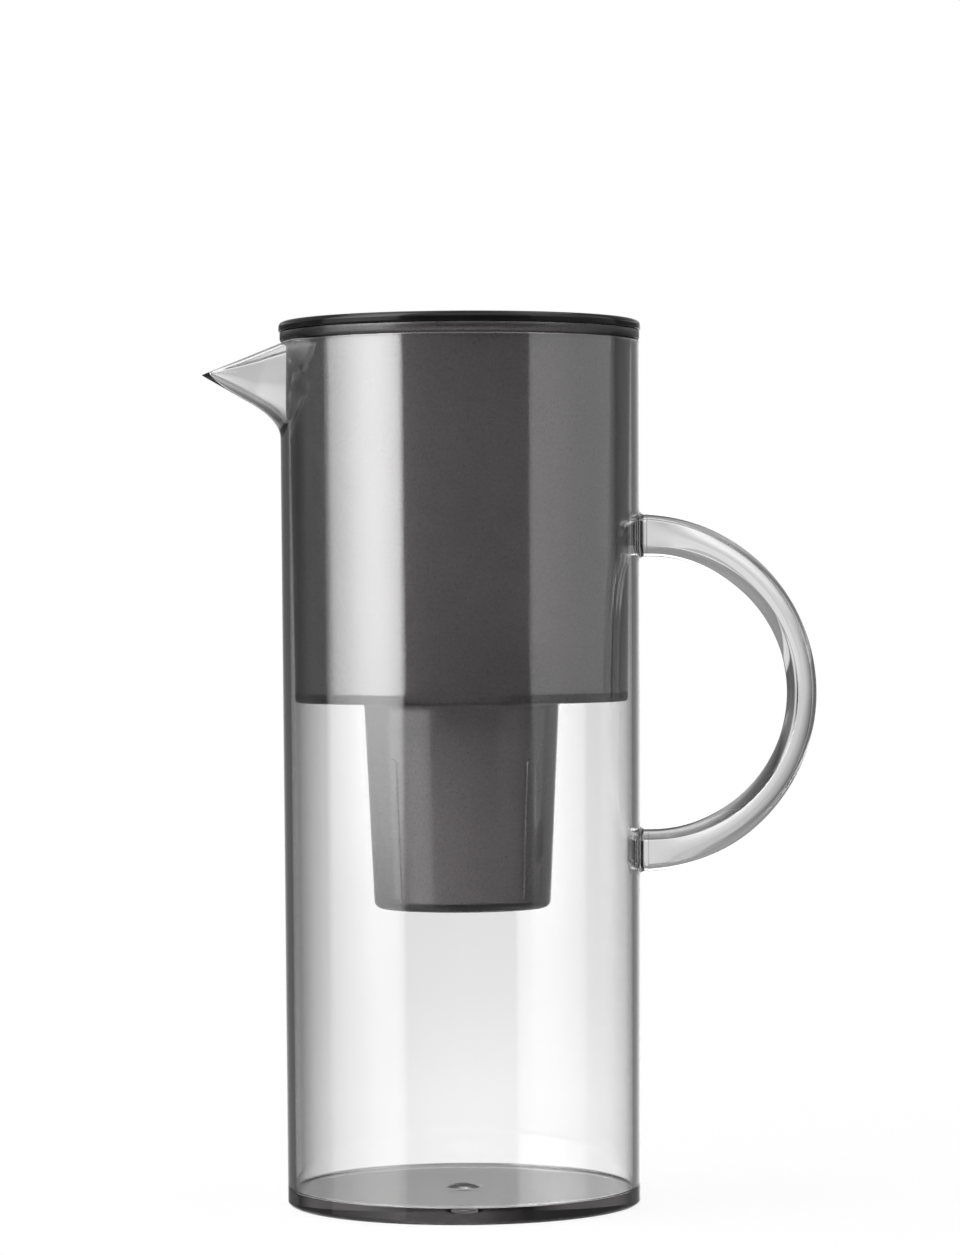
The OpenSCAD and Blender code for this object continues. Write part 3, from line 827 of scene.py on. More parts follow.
        rings = []
        foot = outline(self.flare_r)
        for t in np.linspace(0, 1, self.wall_rings) ** self.patch_crowd:
            yz = rim[:, 1:] + t * (foot - rim[:, 1:])
            x = np.sqrt(np.maximum(self.wall_r(yz[:, 1]) ** 2 - yz[:, 0] ** 2, 0))
            rings.append(np.column_stack([x, yz]))
        ground = rings[-1][:, 0]
        level = self.flare_level * (self.wall_r(z0) - ground) / (self.flare_r + self.flare_spare)
        for a in np.radians(np.linspace(0, 90, self.flare_rings)[1:]):
            lift = self.flare_r * (1 - math.cos(a))
            yz = outline(self.flare_r * (1 - math.sin(a)))
            rings.append(np.column_stack([ground + lift * (1 + level), yz]))
        end_x = self.joint_x - self.weld_gap
        neck = rings[-1]
        end = np.column_stack([np.full(len(neck), end_x), neck[:, 1:]])
        rings += [neck + t * (end - neck) for t in self.neck_shares]
        middle = np.array([end_x, 0.0, z0])
        rings += [middle + t * (end - middle) for t in self.end_shares]
        patch = np.stack(rings)
        return patch.reshape(-1, 3), grid_faces(numbers(patch))

    def under(self) -> Grid:
        """Half section of the underside.

        Returns:
            Array (n, 2) of [radius, height] from the gate's stub, over its recess, to the foot's round edge.
        """
        recess_r, foot_r = self.gate_r - self.gate_rise, self.foot_r - self.foot_edge
        recess = dome(recess_r, self.gate_rise, 0, 16)[::-1]
        recess = recess[recess[:, 0] > self.stub_r + self.stub_gap]
        return np.concatenate([
            [[0, self.stub_lift], [self.stub_r - self.stub_edge, self.stub_lift]],
            [[self.stub_r, self.stub_lift + self.stub_edge], [self.stub_r, recess[0, 1] - self.stub_gap]],
            recess, line((recess_r, 0), (foot_r, 0), 5, 0.4),
            arc(foot_r, self.foot_edge, self.foot_edge, -90, 0, 10)])

    def floor_top(self) -> Grid:
        """Half section of the floor's upper face.

        Returns:
            Array (n, 2) of [radius, height] from the fillet at the wall to the crown of the gate's dome.
        """
        top = self.floor + self.floor_fillet
        edge = self.wall_r(top) - self.wall - self.floor_fillet
        return np.concatenate([
            arc(edge, top, self.floor_fillet, 0, -90, 12),
            line((edge, self.floor), (self.gate_r, self.floor), 5, 0.5),
            dome(self.gate_r, self.gate_rise, self.floor, 14)])

    def rows(self, inside: bool) -> Grid:
        """Heights of the wall's rows below the spout.

        Args:
            inside: Takes the inner face.

        Returns:
            Array of heights. The outer face has a row on the upper and lower edge of each boss's hole.
        """
        if inside:
            rows = np.linspace(self.floor + self.floor_fillet, self.spout_low, self.inner_rows)[:-1]
        else:
            holes = [z0 + side * self.boss_hole for z0 in self.boss_heights() for side in (-1, 1)]
            marks = [self.foot_edge, *holes, self.spout_low]
            spans = zip(marks, marks[1:], self.outer_rows)
            rows = np.concatenate([np.linspace(a, b, n + 1)[:-1] for a, b, n in spans])
        rows[0] += self.row_gap
        return rows

    def wall_grid(self, phi: Grid, lip: Grid, inside: bool) -> Surface:
        """One face of the wall, from the foot to the lip.

        Args:
            phi: Azimuths of the columns from the spout's middle, in radians.
            lip: Height of the lip's rounding at each column.
            inside: Takes the inner face.

        Returns:
            Radii and heights (rows, columns).
        """
        rows = np.repeat(self.rows(inside)[:, None], len(phi), 1)
        rise = self.rim_z(phi, inside) - lip - self.spout_low
        z = np.concatenate([rows, self.spout_low + np.linspace(0, 1, self.spout_rows)[:, None] * rise])
        return self.surface_r(phi[None, :], z, inside), z

    def lip_grid(self, outer: Surface, inner: Surface, lip: Grid, soft: Grid) -> Surface:
        """Rounding of the lip between the two faces of the wall.

        Args:
            outer: Radii and heights of the outer face.
            inner: Radii and heights of the inner face.
            lip: Height of the rounding at each column.
            soft: 1 on the spout, 0 beside it.

        Returns:
            Radii and heights (rows, columns) over a half turn. Its cosine swings from one face to the other
            and its sine lifts by the lip's height, both to a power of a half on the rim and of one on the
            spout, so that the rim has a flat top with rounded edges and the spout a round one.
        """
        turn = np.radians(np.linspace(0, 180, self.lip_rows)[1:-1])[:, None]
        power = 0.5 + 0.5 * soft
        swing = np.sign(np.cos(turn)) * np.abs(np.cos(turn)) ** power
        r, z = ((a[-1] + b[-1]) / 2 + (a[-1] - b[-1]) / 2 * swing for a, b in zip(outer, inner))
        return r, z + lip * np.sin(turn) ** power

    def mesh(self) -> Surface:
        """Whole jug as a grid of azimuth and profile, with a patch for each boss.

        Returns:
            Points and quads. The profile runs from the gate under the floor, over the rim, to the dome.
        """
        phi = self.columns()
        signed = np.where(phi > np.pi, phi - 2 * np.pi, phi)
        soft = np.clip((self.cone()[2] - np.abs(signed)) / math.radians(self.lip_ease), 0, 1)
        thin = self.tip_thin * np.exp(-(signed / math.radians(self.tip_span)) ** 2)
        lip = (self.lip + self.spout_lip * soft) * (1 - thin)
        outer, inner = (self.wall_grid(signed, lip, inside) for inside in (False, True))
        under = spread(self.under(), len(phi))
        parts = [under, outer, self.lip_grid(outer, inner, lip, soft), [side[::-1] for side in inner],
                 spread(self.floor_top(), len(phi))]
        r, z = (np.concatenate(sides) for sides in zip(*parts))
        points = turned(r, z, phi[None, :]).reshape(-1, 3)
        index = numbers(r)
        keep = np.ones((len(r) - 1, len(phi)), bool)
        cols = np.flatnonzero(np.abs(np.degrees(phi) - 180 + self.column_slack) < self.handle_span)
        first, last = cols[0], cols[-1] + 1
        pieces, quads = [points], []
        for z0 in self.boss_heights():
            near = np.abs(outer[1][:, 0] - z0) < self.boss_hole + self.row_slack
            rows = len(under[0]) + np.flatnonzero(near)
            keep[np.ix_(rows[:-1], cols)] = False
            ring = np.concatenate([index[rows[0], first:last], index[rows[:-1], last],
                                   index[rows[-1], first + 1:last + 1], index[rows[1:], first]])
            patch, faces = self.boss_patch(points[ring], z0, 1 if z0 > self.handle_z else -1)
            quads.append(faces + sum(map(len, pieces)))
            pieces.append(patch)
        return np.concatenate(pieces), np.concatenate([grid_faces(index, keep), *quads])

    def build(self, finish: Material) -> None:
        """Makes the jug piece."""
        place_piece("jug_clear_body", self.mesh(), "jug_body", Body.JUG, finish)


@dataclass
class Handle:
    """Clear crescent handle between an inner and an outer arc. Sizes in mm and radians."""

    jug: Jug
    mid_t: float = 9.7
    crown: float = 1.3
    crown_ease: float = 0.5
    rings: int = 288
    cap_shares: tuple[float, ...] = (0.0, 0.4, 0.8, 0.97)

    def mesh(self) -> Surface:
        """Section carried round the grip arc's centre and cut by the joint's plane, with crowned faces.

        Returns:
            Points and quads. At angle a from the level the section runs from the inner radius to the ray's
            exit from the outer circle, which passes through the two ends and the middle of the handle. Away
            from the ends its faces draw in by the crown times the square of the distance from the section's
            middle, counted from 0 there to 1 at the arcs.
        """
        j = self.jug
        reach, half_h = j.grip_r + self.mid_t, j.grip_r + j.end_t
        outer_r = (half_h ** 2 + reach ** 2) / (2 * reach)
        shift = reach - outer_r
        end = np.pi / 2 + math.asin((j.grip_x - j.joint_x) / j.grip_r)
        a = np.linspace(-end, end, self.rings + 1)[:, None]
        exit_r = shift * np.cos(a) + np.sqrt(outer_r ** 2 - (shift * np.sin(a)) ** 2)
        share, offset, y = j.section.outline().T
        rho = j.grip_r + share * (exit_r - j.grip_r) + offset
        across = 2 * (rho - j.grip_r) / (exit_r - j.grip_r) - 1
        away = smooth(np.clip((end - np.abs(a)) / self.crown_ease, 0, 1))
        y = y * (1 - 2 * self.crown / j.section.width * away * across ** 2)
        x = np.maximum(j.grip_x + rho * np.cos(a), j.joint_x)
        rings = np.stack([x, y, j.handle_z + rho * np.sin(a)], axis=-1)
        shares = np.array(self.cap_shares)[:, None, None]
        caps = [ring.mean(0) + shares * (ring - ring.mean(0)) for ring in (rings[0], rings[-1])]
        rings = np.concatenate([caps[0], rings, caps[1][::-1]])
        return rings.reshape(-1, 3), grid_faces(numbers(rings))

    def build(self, finish: Material) -> None:
        """Makes the handle piece."""
        place_piece("handle_clear", self.mesh(), "handle", Body.JUG, finish)


@dataclass
class Hopper:
    """Dark drop-in hopper with its flange, floor and ribbed filter cup. Sizes in mm and degrees."""

    rim_z: float = 280.3
    flange_r: float = 58.6
    flange_t: float = 3.4
    flange_edge: float = 1.2
    lip: float = 0.5
    shoulder_r: float = 55.8
    shoulder_h: float = 2.7
    pour_gap: float = 38.0
    gap_lift: float = 0.02
    top_r: float = 55.6
    low_r: float = 54.29
    bottom: float = 163.2
    wall: float = 2.2
    floor: float = 3.0
    edge: float = 1.2
    fillet: float = 1.2
    cup_top_r: float = 31.8
    cup_low_r: float = 28.7
    cup_depth: float = 67.1
    cup_wall: float = 2.1
    cup_floor: float = 2.8
    cup_edge: float = 2.4
    cup_flare: float = 2.2
    ledge_depth: float = 6.0
    ledge_w: float = 0.9
    rib_n: int = 4
    rib_at: float = 45.0
    rib_w: float = 3.3
    rib_h: float = 0.6
    rib_soft: float = 0.35
    rib_fade: float = 1.5
    rib_drop: float = 18.0
    rib_span: float = 4.4
    rib_run: float = 2.0
    slot_n: int = 8
    slot_w: float = 3.0
    slot_r: tuple[float, float] = (8.0, 20.0)
    slot_ease: tuple[float, float] = (3.0, 2.0)
    slot_span: float = 6.0
    slot_slack: float = 0.001
    row_gap: float = 0.3
    round_columns: int = 288
    rib_columns: int = 45
    slot_columns: int = 9
    cup_steps: tuple[int, ...] = (5, 18, 9, 7)
    base_steps: tuple[int, ...] = (4, 9, 4)

    @property
    def foot(self) -> float:
        """Height of the cup's underside."""
        return self.bottom - self.cup_depth

    @property
    def top(self) -> float:
        """Height of the flange's upper face."""
        return self.rim_z + self.flange_t

    @property
    def rib_top(self) -> float:
        """Height of the centre of a rib's round upper end."""
        return self.bottom - self.rib_drop - self.rib_w / 2

    def cup_r(self, z: Grid) -> Grid:
        """Outer radius of the drafted cup at height z."""
        return self.cup_low_r + (self.cup_top_r - self.cup_low_r) * (z - self.foot) / self.cup_depth

    def columns(self) -> Grid:
        """Azimuths of the columns.

        Returns:
            Array in radians, fine at the ribs and on the edges of the outlet slots.
        """
        ribs = np.linspace(-self.rib_span, self.rib_span, self.rib_columns)
        slots = np.linspace(-self.slot_span, self.slot_span, self.slot_columns)
        deg = [np.linspace(0, 360, self.round_columns, endpoint=False)]
        deg += [self.rib_at + 360 / self.rib_n * i + ribs for i in range(self.rib_n)]
        deg += [360 / self.slot_n * i + slots for i in range(self.slot_n)]
        return np.radians(np.unique(np.round(np.concatenate(deg) % 360, 4)))

    def outside(self) -> Grid:
        """Half section of the outer face.

        Returns:
            Array (n, 2) of [radius, height] from the mouth, over flange, shoulder, wall, to the cup's flare.
        """
        groove, flange_in = self.rim_z - self.shoulder_h, self.flange_r - self.flange_edge
        flare_z, low_in = self.bottom - self.cup_flare, self.low_r - self.edge
        flare_r = self.cup_r(flare_z) + self.cup_flare
        return np.concatenate([
            line((self.top_r - self.wall, self.top), (self.flange_r - self.lip, self.top), 3, 0.3),
            arc(self.flange_r - self.lip, self.top - self.lip, self.lip, 90, 0, 6),
            arc(flange_in, self.rim_z + self.flange_edge, self.flange_edge, 0, -90, 8),
            line((flange_in, self.rim_z), (self.shoulder_r, self.rim_z), 2, 0.2),
            [[self.shoulder_r, self.rim_z], [self.shoulder_r, groove], [self.top_r, groove]],
            line((self.top_r, groove), (self.low_r, self.bottom + self.edge), 10, 0.4),
            arc(low_in, self.bottom + self.edge, self.edge, 0, -90, 8),
            line((low_in, self.bottom), (flare_r, self.bottom), 4, 0.4),
            arc(flare_r, flare_z, self.cup_flare, 90, 180, 10)])

    def cup_rows(self) -> Grid:
        """Rows of the cup's outer wall.

        Returns:
            Array of heights, fine at both ends of the ribs.
        """
        flare_z, low = self.bottom - self.cup_flare, self.foot + self.cup_edge
        rib_end, fine = self.rib_top + self.rib_w, low + self.rib_run
        over, cap, along, end = self.cup_steps
        return np.concatenate([
            [flare_z - self.row_gap], np.linspace(flare_z, rib_end, over)[1:-1],
            np.linspace(rib_end, self.rib_top, cap), np.linspace(self.rib_top, fine, along)[1:-1],
            np.linspace(fine, low + self.row_gap, end)])

    def inside(self) -> Grid:
        """Half section of the inner face.

        Returns:
            Array (n, 2) of [radius, height] from the cup's floor, over the cartridge's ledge, to the mouth.
        """
        floor_z, ledge_z = self.bottom + self.floor, self.bottom - self.ledge_depth
        cup_z = self.foot + self.cup_floor
        cup_in, ledge_r = self.cup_r(cup_z) - self.cup_wall, self.cup_r(ledge_z) - self.cup_wall
        seat_r, low_in, mouth = ledge_r + self.ledge_w, self.low_r - self.wall, self.top_r - self.wall
        return np.concatenate([
            line((cup_in, cup_z), (ledge_r, ledge_z), 12, 0.3),
            [[ledge_r, ledge_z], [seat_r, ledge_z], [seat_r, floor_z]],
            line((seat_r, floor_z), (low_in - self.fillet, floor_z), 4, 0.4),
            arc(low_in - self.fillet, floor_z + self.fillet, self.fillet, -90, 0, 10),
            line((low_in, floor_z + self.fillet), (mouth, self.top), 12, 0.4), [[mouth, self.top]]])

    def mesh(self) -> Surface:
        """Half section turned round the axis.

        Returns:
            Points and quads. The ribs are a lift of the cup's wall, the slots openings between the two faces
            of the cup's floor.
        """
        phi, cup_z = self.columns(), self.cup_rows()
        edge_z, twin_z = self.foot + self.cup_edge, self.foot + self.cup_floor
        edge_r = self.cup_r(edge_z) - self.cup_edge
        near, far = self.slot_r
        past, along, middle = self.base_steps
        base_r = np.concatenate([
            np.linspace(edge_r, far, past)[:-1], np.linspace(far, near, along),
            np.linspace(near, 0, middle)[1:]])
        twin_r = np.concatenate([[self.cup_r(twin_z) - self.cup_wall], base_r[1:]])[::-1]
        parts = [
            self.outside(), np.column_stack([self.cup_r(cup_z), cup_z]),
            arc(edge_r, edge_z, self.cup_edge, 0, -90, 10)[:-1],
            np.column_stack([base_r, np.full_like(base_r, self.foot)]),
            np.column_stack([twin_r, np.full_like(twin_r, twin_z)]), self.inside()]
        cup_at, edge_at, base_at, twin_at, inside_at = np.cumsum([len(part) for part in parts])[:-1]
        r, z = spread(np.concatenate(parts), len(phi))
        turn = np.repeat(phi[None, :], len(r), 0)
        open_gap = np.minimum(phi, 2 * np.pi - phi) < math.radians(self.pour_gap)
        r[(np.abs(r - self.shoulder_r) < 1e-6) & open_gap] = self.top_r + self.gap_lift
        r[cup_at:edge_at] += self.rib_lift(phi, cup_z)
        low_rows, high_rows = np.arange(base_at, twin_at), np.arange(twin_at, inside_at)[::-1]
        for rows in (low_rows, high_rows):
            turn[rows] = self.slot_turn(phi, r[rows])
        step = 360 / self.slot_n
        off = np.abs((np.degrees(phi) + step / 2) % step - step / 2)
        slot_cols = np.maximum(off, np.roll(off, -1)) < self.slot_span + self.slot_slack
        mid_r = (base_r[1:] + base_r[:-1]) / 2
        open_cells = ((mid_r > near) & (mid_r < far))[:, None] & slot_cols
        keep = np.ones((len(r) - 1, len(phi)), bool)
        keep[low_rows[:-1]] &= ~open_cells
        keep[high_rows[1:]] &= ~open_cells
        index = numbers(r)
        faces = [grid_faces(index, keep), grid_faces(index[[-1, 0]]),
                 slot_walls(index[low_rows], index[high_rows], open_cells)]
        return turned(r, z, turn).reshape(-1, 3), np.concatenate(faces)

    def rib_lift(self, phi: Grid, z: Grid) -> Grid:
        """Lift of the cup's wall at the ribs: a rounded bar with soft edges.

        Args:
            phi: Azimuths of the columns, in radians.
            z: Heights of the rows.

        Returns:
            Array (rows, columns), in mm.
        """
        step = 2 * np.pi / self.rib_n
        off = (phi - math.radians(self.rib_at) + step / 2) % step - step / 2
        across = np.abs(off)[None, :] * self.cup_r(z)[:, None]
        above = np.maximum(z - self.rib_top, 0)[:, None]
        inside = self.rib_w / 2 - np.hypot(across, above)
        low = np.clip((z - self.foot - self.cup_edge) / self.rib_fade, 0, 1)[:, None]
        return self.rib_h * low * smooth(np.clip(inside / self.rib_soft + 0.5, 0, 1))

    def slot_turn(self, phi: Grid, r: Grid) -> Grid:
        """Azimuths on the cup's floor, moved so that columns at the slots' span follow their parallel edges.

        Args:
            phi: Azimuths of the columns, in radians.
            r: Radii (rows, columns).

        Returns:
            Azimuths (rows, columns), in radians.
        """
        step, span = 2 * np.pi / self.slot_n, math.radians(self.slot_span)
        (near, far), (ease_in, ease_out) = self.slot_r, self.slot_ease
        off = ((phi + step / 2) % step - step / 2)[None, :]
        after, before = (r - near + ease_in) / ease_in, (far + ease_out - r) / ease_out
        inside = np.clip(after, 0, 1) * np.clip(before, 0, 1)
        edge = span + inside * (np.arcsin(np.minimum(self.slot_w / 2 / np.maximum(r, near), 1)) - span)
        a = np.abs(off)
        beyond = edge + (a - span) * (step / 2 - edge) / (step / 2 - span)
        return phi[None, :] - off + np.sign(off) * np.where(a <= span + 1e-9, a * edge / span, beyond)

    def build(self, finish: Material) -> None:
        """Makes the hopper piece."""
        place_piece("hopper_dark", self.mesh(), "hopper", Body.HOPPER, finish, 35)


@dataclass
class Lid:
    """Glossy disc lid with its skirt. Sizes in mm."""

    z: float = 283.7
    r: float = 59.0
    t: float = 3.2
    edge: float = 1.6
    lip: float = 0.5
    skirt_r: float = 53.0
    skirt_t: float = 1.6
    skirt_h: float = 3.0
    skirt_edge: float = 0.2
    recess: float = 1.0
    columns: int = 320

    def mesh(self) -> Surface:
        """Half section of the disc and skirt turned round the axis.

        Returns:
            Points and quads.
        """
        top, under = self.z + self.t, self.z + self.recess
        in_r, foot = self.skirt_r - self.skirt_t, self.z - self.skirt_h
        profile = np.concatenate([
            [[0, under]], line((0, under), (in_r, under), 4, 0.4),
            [[in_r, under], [in_r, foot + self.skirt_edge], [in_r + self.skirt_edge, foot]],
            arc(self.skirt_r - self.lip, foot + self.lip, self.lip, -90, 0, 6),
            [[self.skirt_r, self.z]], line((self.skirt_r, self.z), (self.r - self.lip, self.z), 3, 0.3),
            arc(self.r - self.lip, self.z + self.lip, self.lip, -90, 0, 6),
            arc(self.r - self.edge, top - self.edge, self.edge, 0, 90, 12),
            line((self.r - self.edge, top), (0, top), 6, 0.4), [[0, top]]])
        phi = np.linspace(0, 2 * np.pi, self.columns, endpoint=False)
        points = turned(*spread(profile, self.columns), phi[None, :])
        return points.reshape(-1, 3), grid_faces(numbers(points))

    def build(self, finish: Material) -> None:
        """Makes the lid piece."""
        place_piece("lid_disc", self.mesh(), "lid", Body.LID, finish)


def grey(level: float) -> Rgb:
    """Neutral colour of one level."""
    return (level, level, level)


@dataclass
class Cartridge:
    """Finishes of the filter cartridge, whose CAD solids stay."""

    finishes: dict[str, MattePlastic] = field(default_factory=lambda: {
        "cartridge_shell": MattePlastic("shell_white", grey(0.9), grey(0.96)),
        "cartridge_cap": MattePlastic("cap_milky", grey(0.95), grey(1.0), (0.2, 0.3), milky=0.95),
        "cartridge_seal": MattePlastic("seal_soft", (0.05, 0.05, 0.055), (0.09, 0.09, 0.095), (0.6, 0.8)),
        "carbon_bed": MattePlastic("carbon_grain", grey(0.01), grey(0.06), (0.5, 0.9), 900, 0.0008),
        "resin_bed": MattePlastic(
            "resin_beads", (0.36, 0.2, 0.06), (0.66, 0.45, 0.2), (0.25, 0.5), 1300, 0.0006),
        **{node: MattePlastic(name, grey(0.76), grey(0.84))
           for node, name in (("inlet_sieve", "sieve_white"), ("outlet_sieve", "sieve_white_low"))},
        **{node: MattePlastic(name, (0.78, 0.78, 0.75), (0.9, 0.9, 0.88), (0.85, 1), 2200, 0.0005)
           for node, name in (("separator_fleece", "fleece_mid"), ("outlet_fleece", "fleece_low"))},
    })

    def build(self) -> None:
        """Gives each CAD solid of the cartridge its finish."""
        for node, finish in self.finishes.items():
            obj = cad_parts[node]
            obj.data.materials.clear()
            obj.data.materials.append(finish.build())
            LOG.info("%s: %s", node, finish.name)


@dataclass(frozen=True)
class Panel:
    """Part of the surroundings: levels by azimuth in degrees, times levels by the sine of the elevation.

    Azimuth 0 is straight behind the jug, positive to the right.
    """

    around: Marks
    upright: Marks


@dataclass(frozen=True)
class Softbox:
    """Soft lamp that faces the jug, seen by matte surfaces alone. Sizes in metres.

    The azimuth counts in degrees from the camera's side, positive to the right. A radiance of 1 is white.
    """

    name: str
    azimuth: float
    width: float
    radiance: float
    away: float
    height: float = 1.5
    z: float = 0.35

    def build(self) -> None:
        """Makes the lamp."""
        data = bpy.data.lights.new(self.name, "AREA")
        data.shape = "RECTANGLE"
        data.size, data.size_y = self.width, self.height
        data.energy = self.radiance * math.pi * self.width * self.height
        obj = bpy.data.objects.new(self.name, data)
        a = math.radians(self.azimuth)
        place = Vector((math.sin(a) * self.away, -math.cos(a) * self.away, self.z))
        aim = Vector((0, 0, self.z)) - place
        obj.matrix_world = Matrix.Translation(place) @ aim.to_track_quat("-Z", "Y").to_matrix().to_4x4()
        obj.visible_camera = obj.visible_glossy = obj.visible_transmission = False
        bpy.context.scene.collection.objects.link(obj)


@dataclass
class Studio:
    """Pale floor, surroundings, soft lamps and the camera. Sizes in metres and degrees, roll in radians.

    The panels are a white backdrop, low lights beside it that the thick floor bends into view, a light behind
    the handle, soft boxes at both sides, ceiling and ground, and a light over the camera. The pale sides and
    the pale ground are seen only straight through two walls.
    """

    distance: float = 1.460
    eye: float = 0.1944
    focal_px: float = 4476.0
    image: tuple[int, int] = (960, 1255)
    axis_px: tuple[float, float] = (461.13, 605.6)
    roll: float = -0.006
    sensor_mm: float = 36.0
    fill: float = 0.7
    floor_half: float = 4.0
    floor_grey: float = 0.95
    floor_glow: float = 0.86
    # Share of glow that gloss and glass see on the floor under the foot: painted light that brightens the
    # jug's floor plate.
    under_foot_painted_glow: float = 0.15
    shadow_reach: tuple[float, float] = (0.07, 0.45)
    air_gap: float = 0.00015
    foot: float = 0.0585
    no_mirror: float = 0.5
    two_walls: float = 3.5
    lamps: tuple[Softbox, ...] = (
        Softbox("softbox_left", -76, 1.5, 2.6, 0.95), Softbox("softbox_right", 78, 1.4, 1.2, 1.0))
    backdrop: Panel = Panel(
        ((-180, 0), (-60, 0), (-20, 0.08), (-14.6, 0.17), (-8.2, 0.48), (-5.9, 0.68), (-4.5, 0.8), (-3, 0.86),
         (-1, 1.0), (12, 1.0), (15, 0.8), (20, 0.32), (27, 0.16), (56, 0.14), (62, 0.06), (66, 0), (180, 0)),
        ((-1, 0), (-0.25, 0), (-0.17, 1.14), (-0.11, 1.14), (-0.085, 1.0), (-0.057, 0.93), (-0.0345, 0.86),
         (-0.02, 0.82), (-0.008, 0.68), (0.085, 0.6), (0.1, 0.38), (0.15, 0.38), (0.18, 0), (1, 0)))
    low_sides: Panel = Panel(
        ((-180, 0), (-62, 0), (-50, 1), (-25, 1), (-15, 0), (15, 0), (25, 1), (50, 1), (62, 0), (180, 0)),
        ((-1, 0), (0.085, 0), (0.1, 0.9), (0.16, 0.9), (0.18, 0), (1, 0)))
    behind: Panel = Panel(
        ((-180, 0), (1.5, 0), (2.5, 1), (12, 1), (16, 0), (180, 0)),
        ((-1, 0), (-0.5, 0.05), (-0.3, 0.25), (-0.2, 0.45), (-0.17, 0), (-0.02, 0), (-0.008, 0.34),
         (0.085, 0.4), (0.1, 0.2), (0.15, 0.2), (0.19, 1), (0.26, 0.9), (0.32, 0.4), (0.4, 0.1), (0.5, 0),
         (1, 0)))
    boxes: Panel = Panel(
        ((-180, 0), (-143, 0), (-140.4, 3.2), (-135, 4.0), (-126, 4.6), (-118, 4.5), (-108, 3.9), (-99, 3.0),
         (-85, 1.8), (-83, 0.16), (-60, 0.16), (-52, 0), (62, 0), (64, 0.52), (133, 0.8), (135, 0), (180, 0)),
        ((-1, 0.1), (-0.2, 0.1), (-0.16, 0.22), (-0.14, 0.22), (-0.11, 0.3), (-0.083, 0.5), (-0.066, 0.58),
         (-0.058, 0.74), (-0.035, 0.92), (-0.022, 1), (0.09, 1), (0.105, 0.8), (0.15, 0.8), (0.17, 2.5),
         (0.6, 2.5), (1, 1.0)))
    above_below: Panel = Panel(
        ((-180, 1), (180, 1)),
        ((-1, 0.1), (-0.84, 0.1), (-0.76, 0.5), (-0.6, 0.5), (-0.45, 0.2), (-0.18, 0.06), (0.085, 0.06),
         (0.14, 0.06), (0.19, 0.4), (0.38, 0.42), (0.74, 0.42), (0.79, 3.0), (0.92, 3.0), (0.96, 0.3),
         (1, 0.3)))
    front: Panel = Panel(
        ((-180, 1), (-120, 1), (-90, 0), (90, 0), (120, 1), (180, 1)),
        ((-1, 0), (0.12, 0), (0.22, 2.4), (0.8, 2.4), (0.9, 0), (1, 0)))
    pale_sides: Panel = Panel(
        ((-180, 0.85), (-82, 0.85), (-68, 0), (68, 0), (82, 0.85), (180, 0.85)), ((-1, 1), (1, 1)))
    pale_low: Panel = Panel(
        ((-180, 0), (-82, 0), (-68, 0.85), (-45, 0.85), (-25, 0.3), (25, 0.3), (45, 0.85), (68, 0.85),
         (82, 0), (180, 0)),
        ((-1, 1), (-0.22, 1), (-0.16, 0), (1, 0)))

    def camera(self) -> None:
        """Camera at the photograph's distance, turned so that the jug's axis and horizon fall in place."""
        data = bpy.data.cameras.new("view")
        data.sensor_width = self.sensor_mm
        data.lens = self.focal_px / max(self.image) * data.sensor_width
        cam = bpy.data.objects.new("view", data)
        yaw, pitch = (-math.atan((size / 2 - at) / self.focal_px)
                      for size, at in zip(self.image, self.axis_px))
        turn = (Matrix.Rotation(yaw, 4, "Z") @ Matrix.Rotation(math.pi / 2 + pitch, 4, "X")
                @ Matrix.Rotation(self.roll, 4, "Z"))
        cam.matrix_world = Matrix.Translation((0, -self.distance, self.eye)) @ turn
        bpy.context.scene.collection.objects.link(cam)
        bpy.context.scene.camera = cam

    def world(self) -> None:
        """Surroundings: gloss and glass see the panels, the camera white, matte surfaces an even fill."""
        bpy.context.scene.world = bpy.data.worlds.new("studio")
        bench = NodeBench(bpy.context.scene.world, "World")
        ray = bench.new("SeparateXYZ", {0: bench.new("TexCoord").outputs["Generated"]}).outputs
        azimuth = bench.math("DEGREES", bench.math("ARCTAN2", ray["X"], ray["Y"]))
        path = bench.new("LightPath").outputs

        def lit(*panels: Panel) -> Socket:
            """Sum of the panels' levels.

            Args:
                panels: Panels to add.

            Returns:
                Socket of the sum.
            """
            shares = [bench.math("MULTIPLY", bench.levels(azimuth, panel.around),
                                 bench.levels(ray["Z"], panel.upright)) for panel in panels]
            return functools.reduce(functools.partial(bench.math, "ADD"), shares)

        straight = bench.math("MULTIPLY", bench.math("LESS_THAN", path["Glossy Depth"], self.no_mirror),
                              bench.math("GREATER_THAN", path["Transmission Depth"], self.two_walls))
        studio = lit(self.backdrop, self.low_sides, self.behind, self.boxes, self.above_below, self.front)
        pale = bench.math("MULTIPLY", straight, lit(self.pale_sides, self.pale_low))
        seen = bench.new("Background", {"Color": WHITE, "Strength": bench.math("MAXIMUM", studio, pale)})
        fill = bench.new("Background", {"Color": (*grey(self.fill), 1)})
        white = bench.new("Background", {"Color": WHITE})
        glassy = bench.math("MAXIMUM", path["Is Glossy Ray"], path["Is Transmission Ray"])
        shown = bench.mix(path["Is Camera Ray"], bench.mix(glassy, fill, seen), white)
        bench.feed(bench.out, {"Surface": shown.outputs[0]})

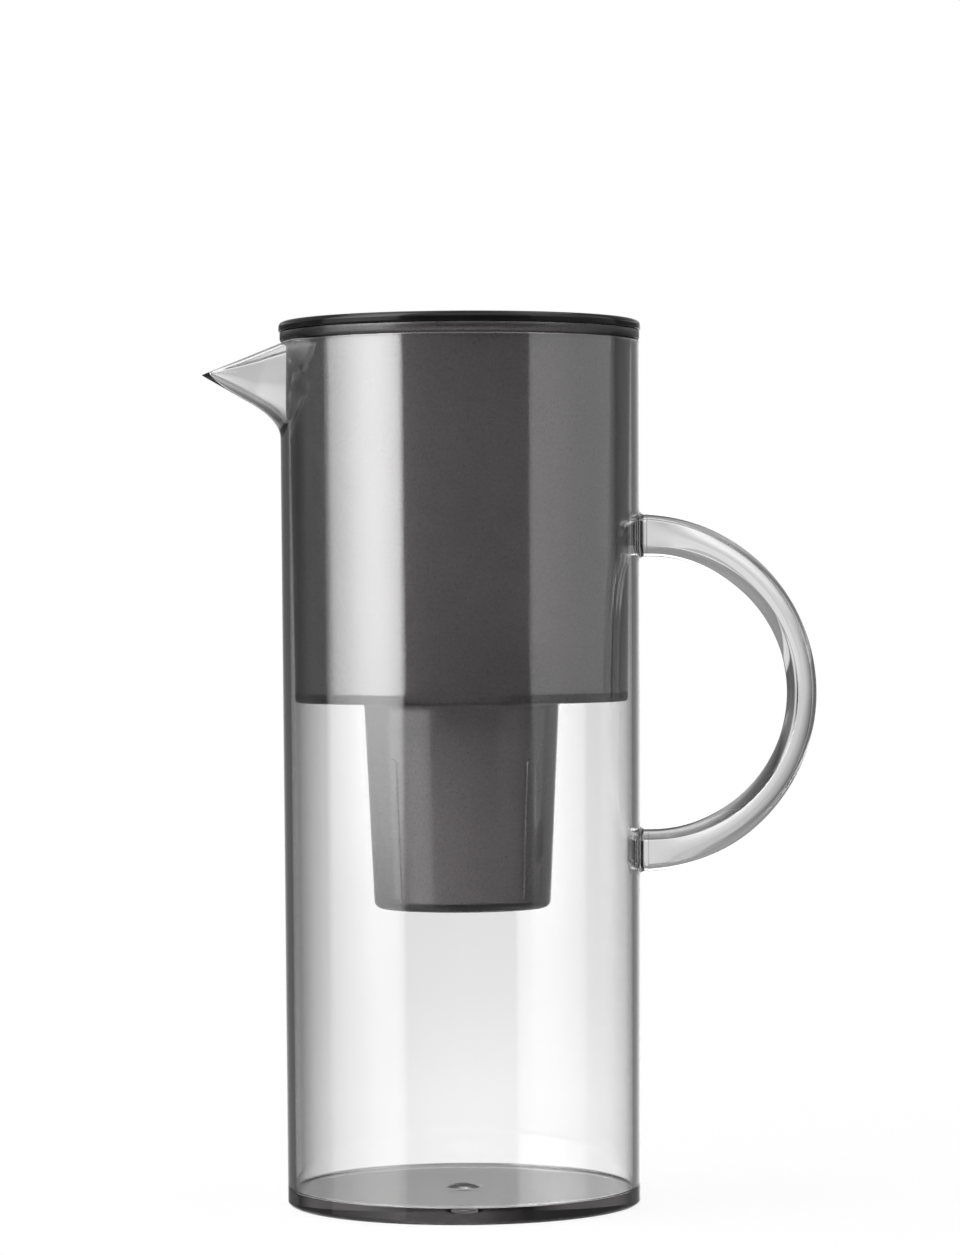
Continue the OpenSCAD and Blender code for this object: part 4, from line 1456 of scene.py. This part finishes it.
    def floor(self) -> None:
        """Pale floor that reads white and keeps a soft shadow. Past the foot, gloss and glass see past it."""
        s, z = self.floor_half, -self.air_gap
        mesh = bpy.data.meshes.new("floor")
        mesh.from_pydata([(-s, -s, z), (s, -s, z), (s, s, z), (-s, s, z)], [], [(0, 1, 2, 3)])
        obj = bpy.data.objects.new("floor", mesh)
        bpy.context.scene.collection.objects.link(obj)
        bench = NodeBench(bpy.data.materials.new("floor_pale"), "Material")
        path = bench.new("LightPath").outputs
        glassy = bench.math("MAXIMUM", path["Is Glossy Ray"], path["Is Transmission Ray"])
        place = bench.new("TexCoord").outputs["Object"]
        away = bench.new("VectorMath", {0: place}, "LENGTH").outputs["Value"]
        near, far = self.shadow_reach
        glow_share = bench.new("MapRange", {
            "Value": away, "From Min": near, "From Max": far, "To Min": self.floor_glow}).outputs["Result"]
        # Camera rays see the floor's white glow; gloss and glass see a painted glow under the foot.
        share = bench.math("MULTIPLY_ADD", path["Is Camera Ray"], glow_share,
                           bench.math("MULTIPLY", glassy, self.under_foot_painted_glow))
        matte = bench.new("BsdfDiffuse", {"Color": (*grey(self.floor_grey), 1)})
        seen = bench.mix(share, matte, bench.new("Emission", {"Color": WHITE}))
        past = bench.math("MULTIPLY", glassy, bench.math("GREATER_THAN", away, self.foot))
        shown = bench.mix(past, seen, bench.new("BsdfTransparent"))
        bench.feed(bench.out, {"Surface": shown.outputs[0]})
        mesh.materials.append(bench.owner)

    def build(self) -> None:
        """Sets the view's colours, then makes camera, surroundings, floor and lamps."""
        bpy.context.scene.view_settings.view_transform = "Standard"
        self.camera()
        self.world()
        self.floor()
        for lamp in self.lamps:
            lamp.build()


def main() -> None:
    """Builds the jug's pieces and the studio in order."""
    logging.basicConfig(level=logging.INFO, format="%(name)s: %(message)s")
    clear = ClearPlastic().build()
    jug = Jug()
    jug.build(clear)
    Handle(jug).build(clear)
    Hopper().build(FrostedPlastic().build())
    Lid().build(GlossPlastic("lid_black", (0.004, 0.004, 0.0045), (0.008, 0.008, 0.0085)).build())
    Cartridge().build()
    Studio().build()
    bpy.context.scene.cycles.max_bounces = LIGHT_BOUNCES
    bpy.context.scene.cycles.transmission_bounces = LIGHT_BOUNCES
    bpy.context.view_layer.update()


if __name__ == "__main__":
    main()
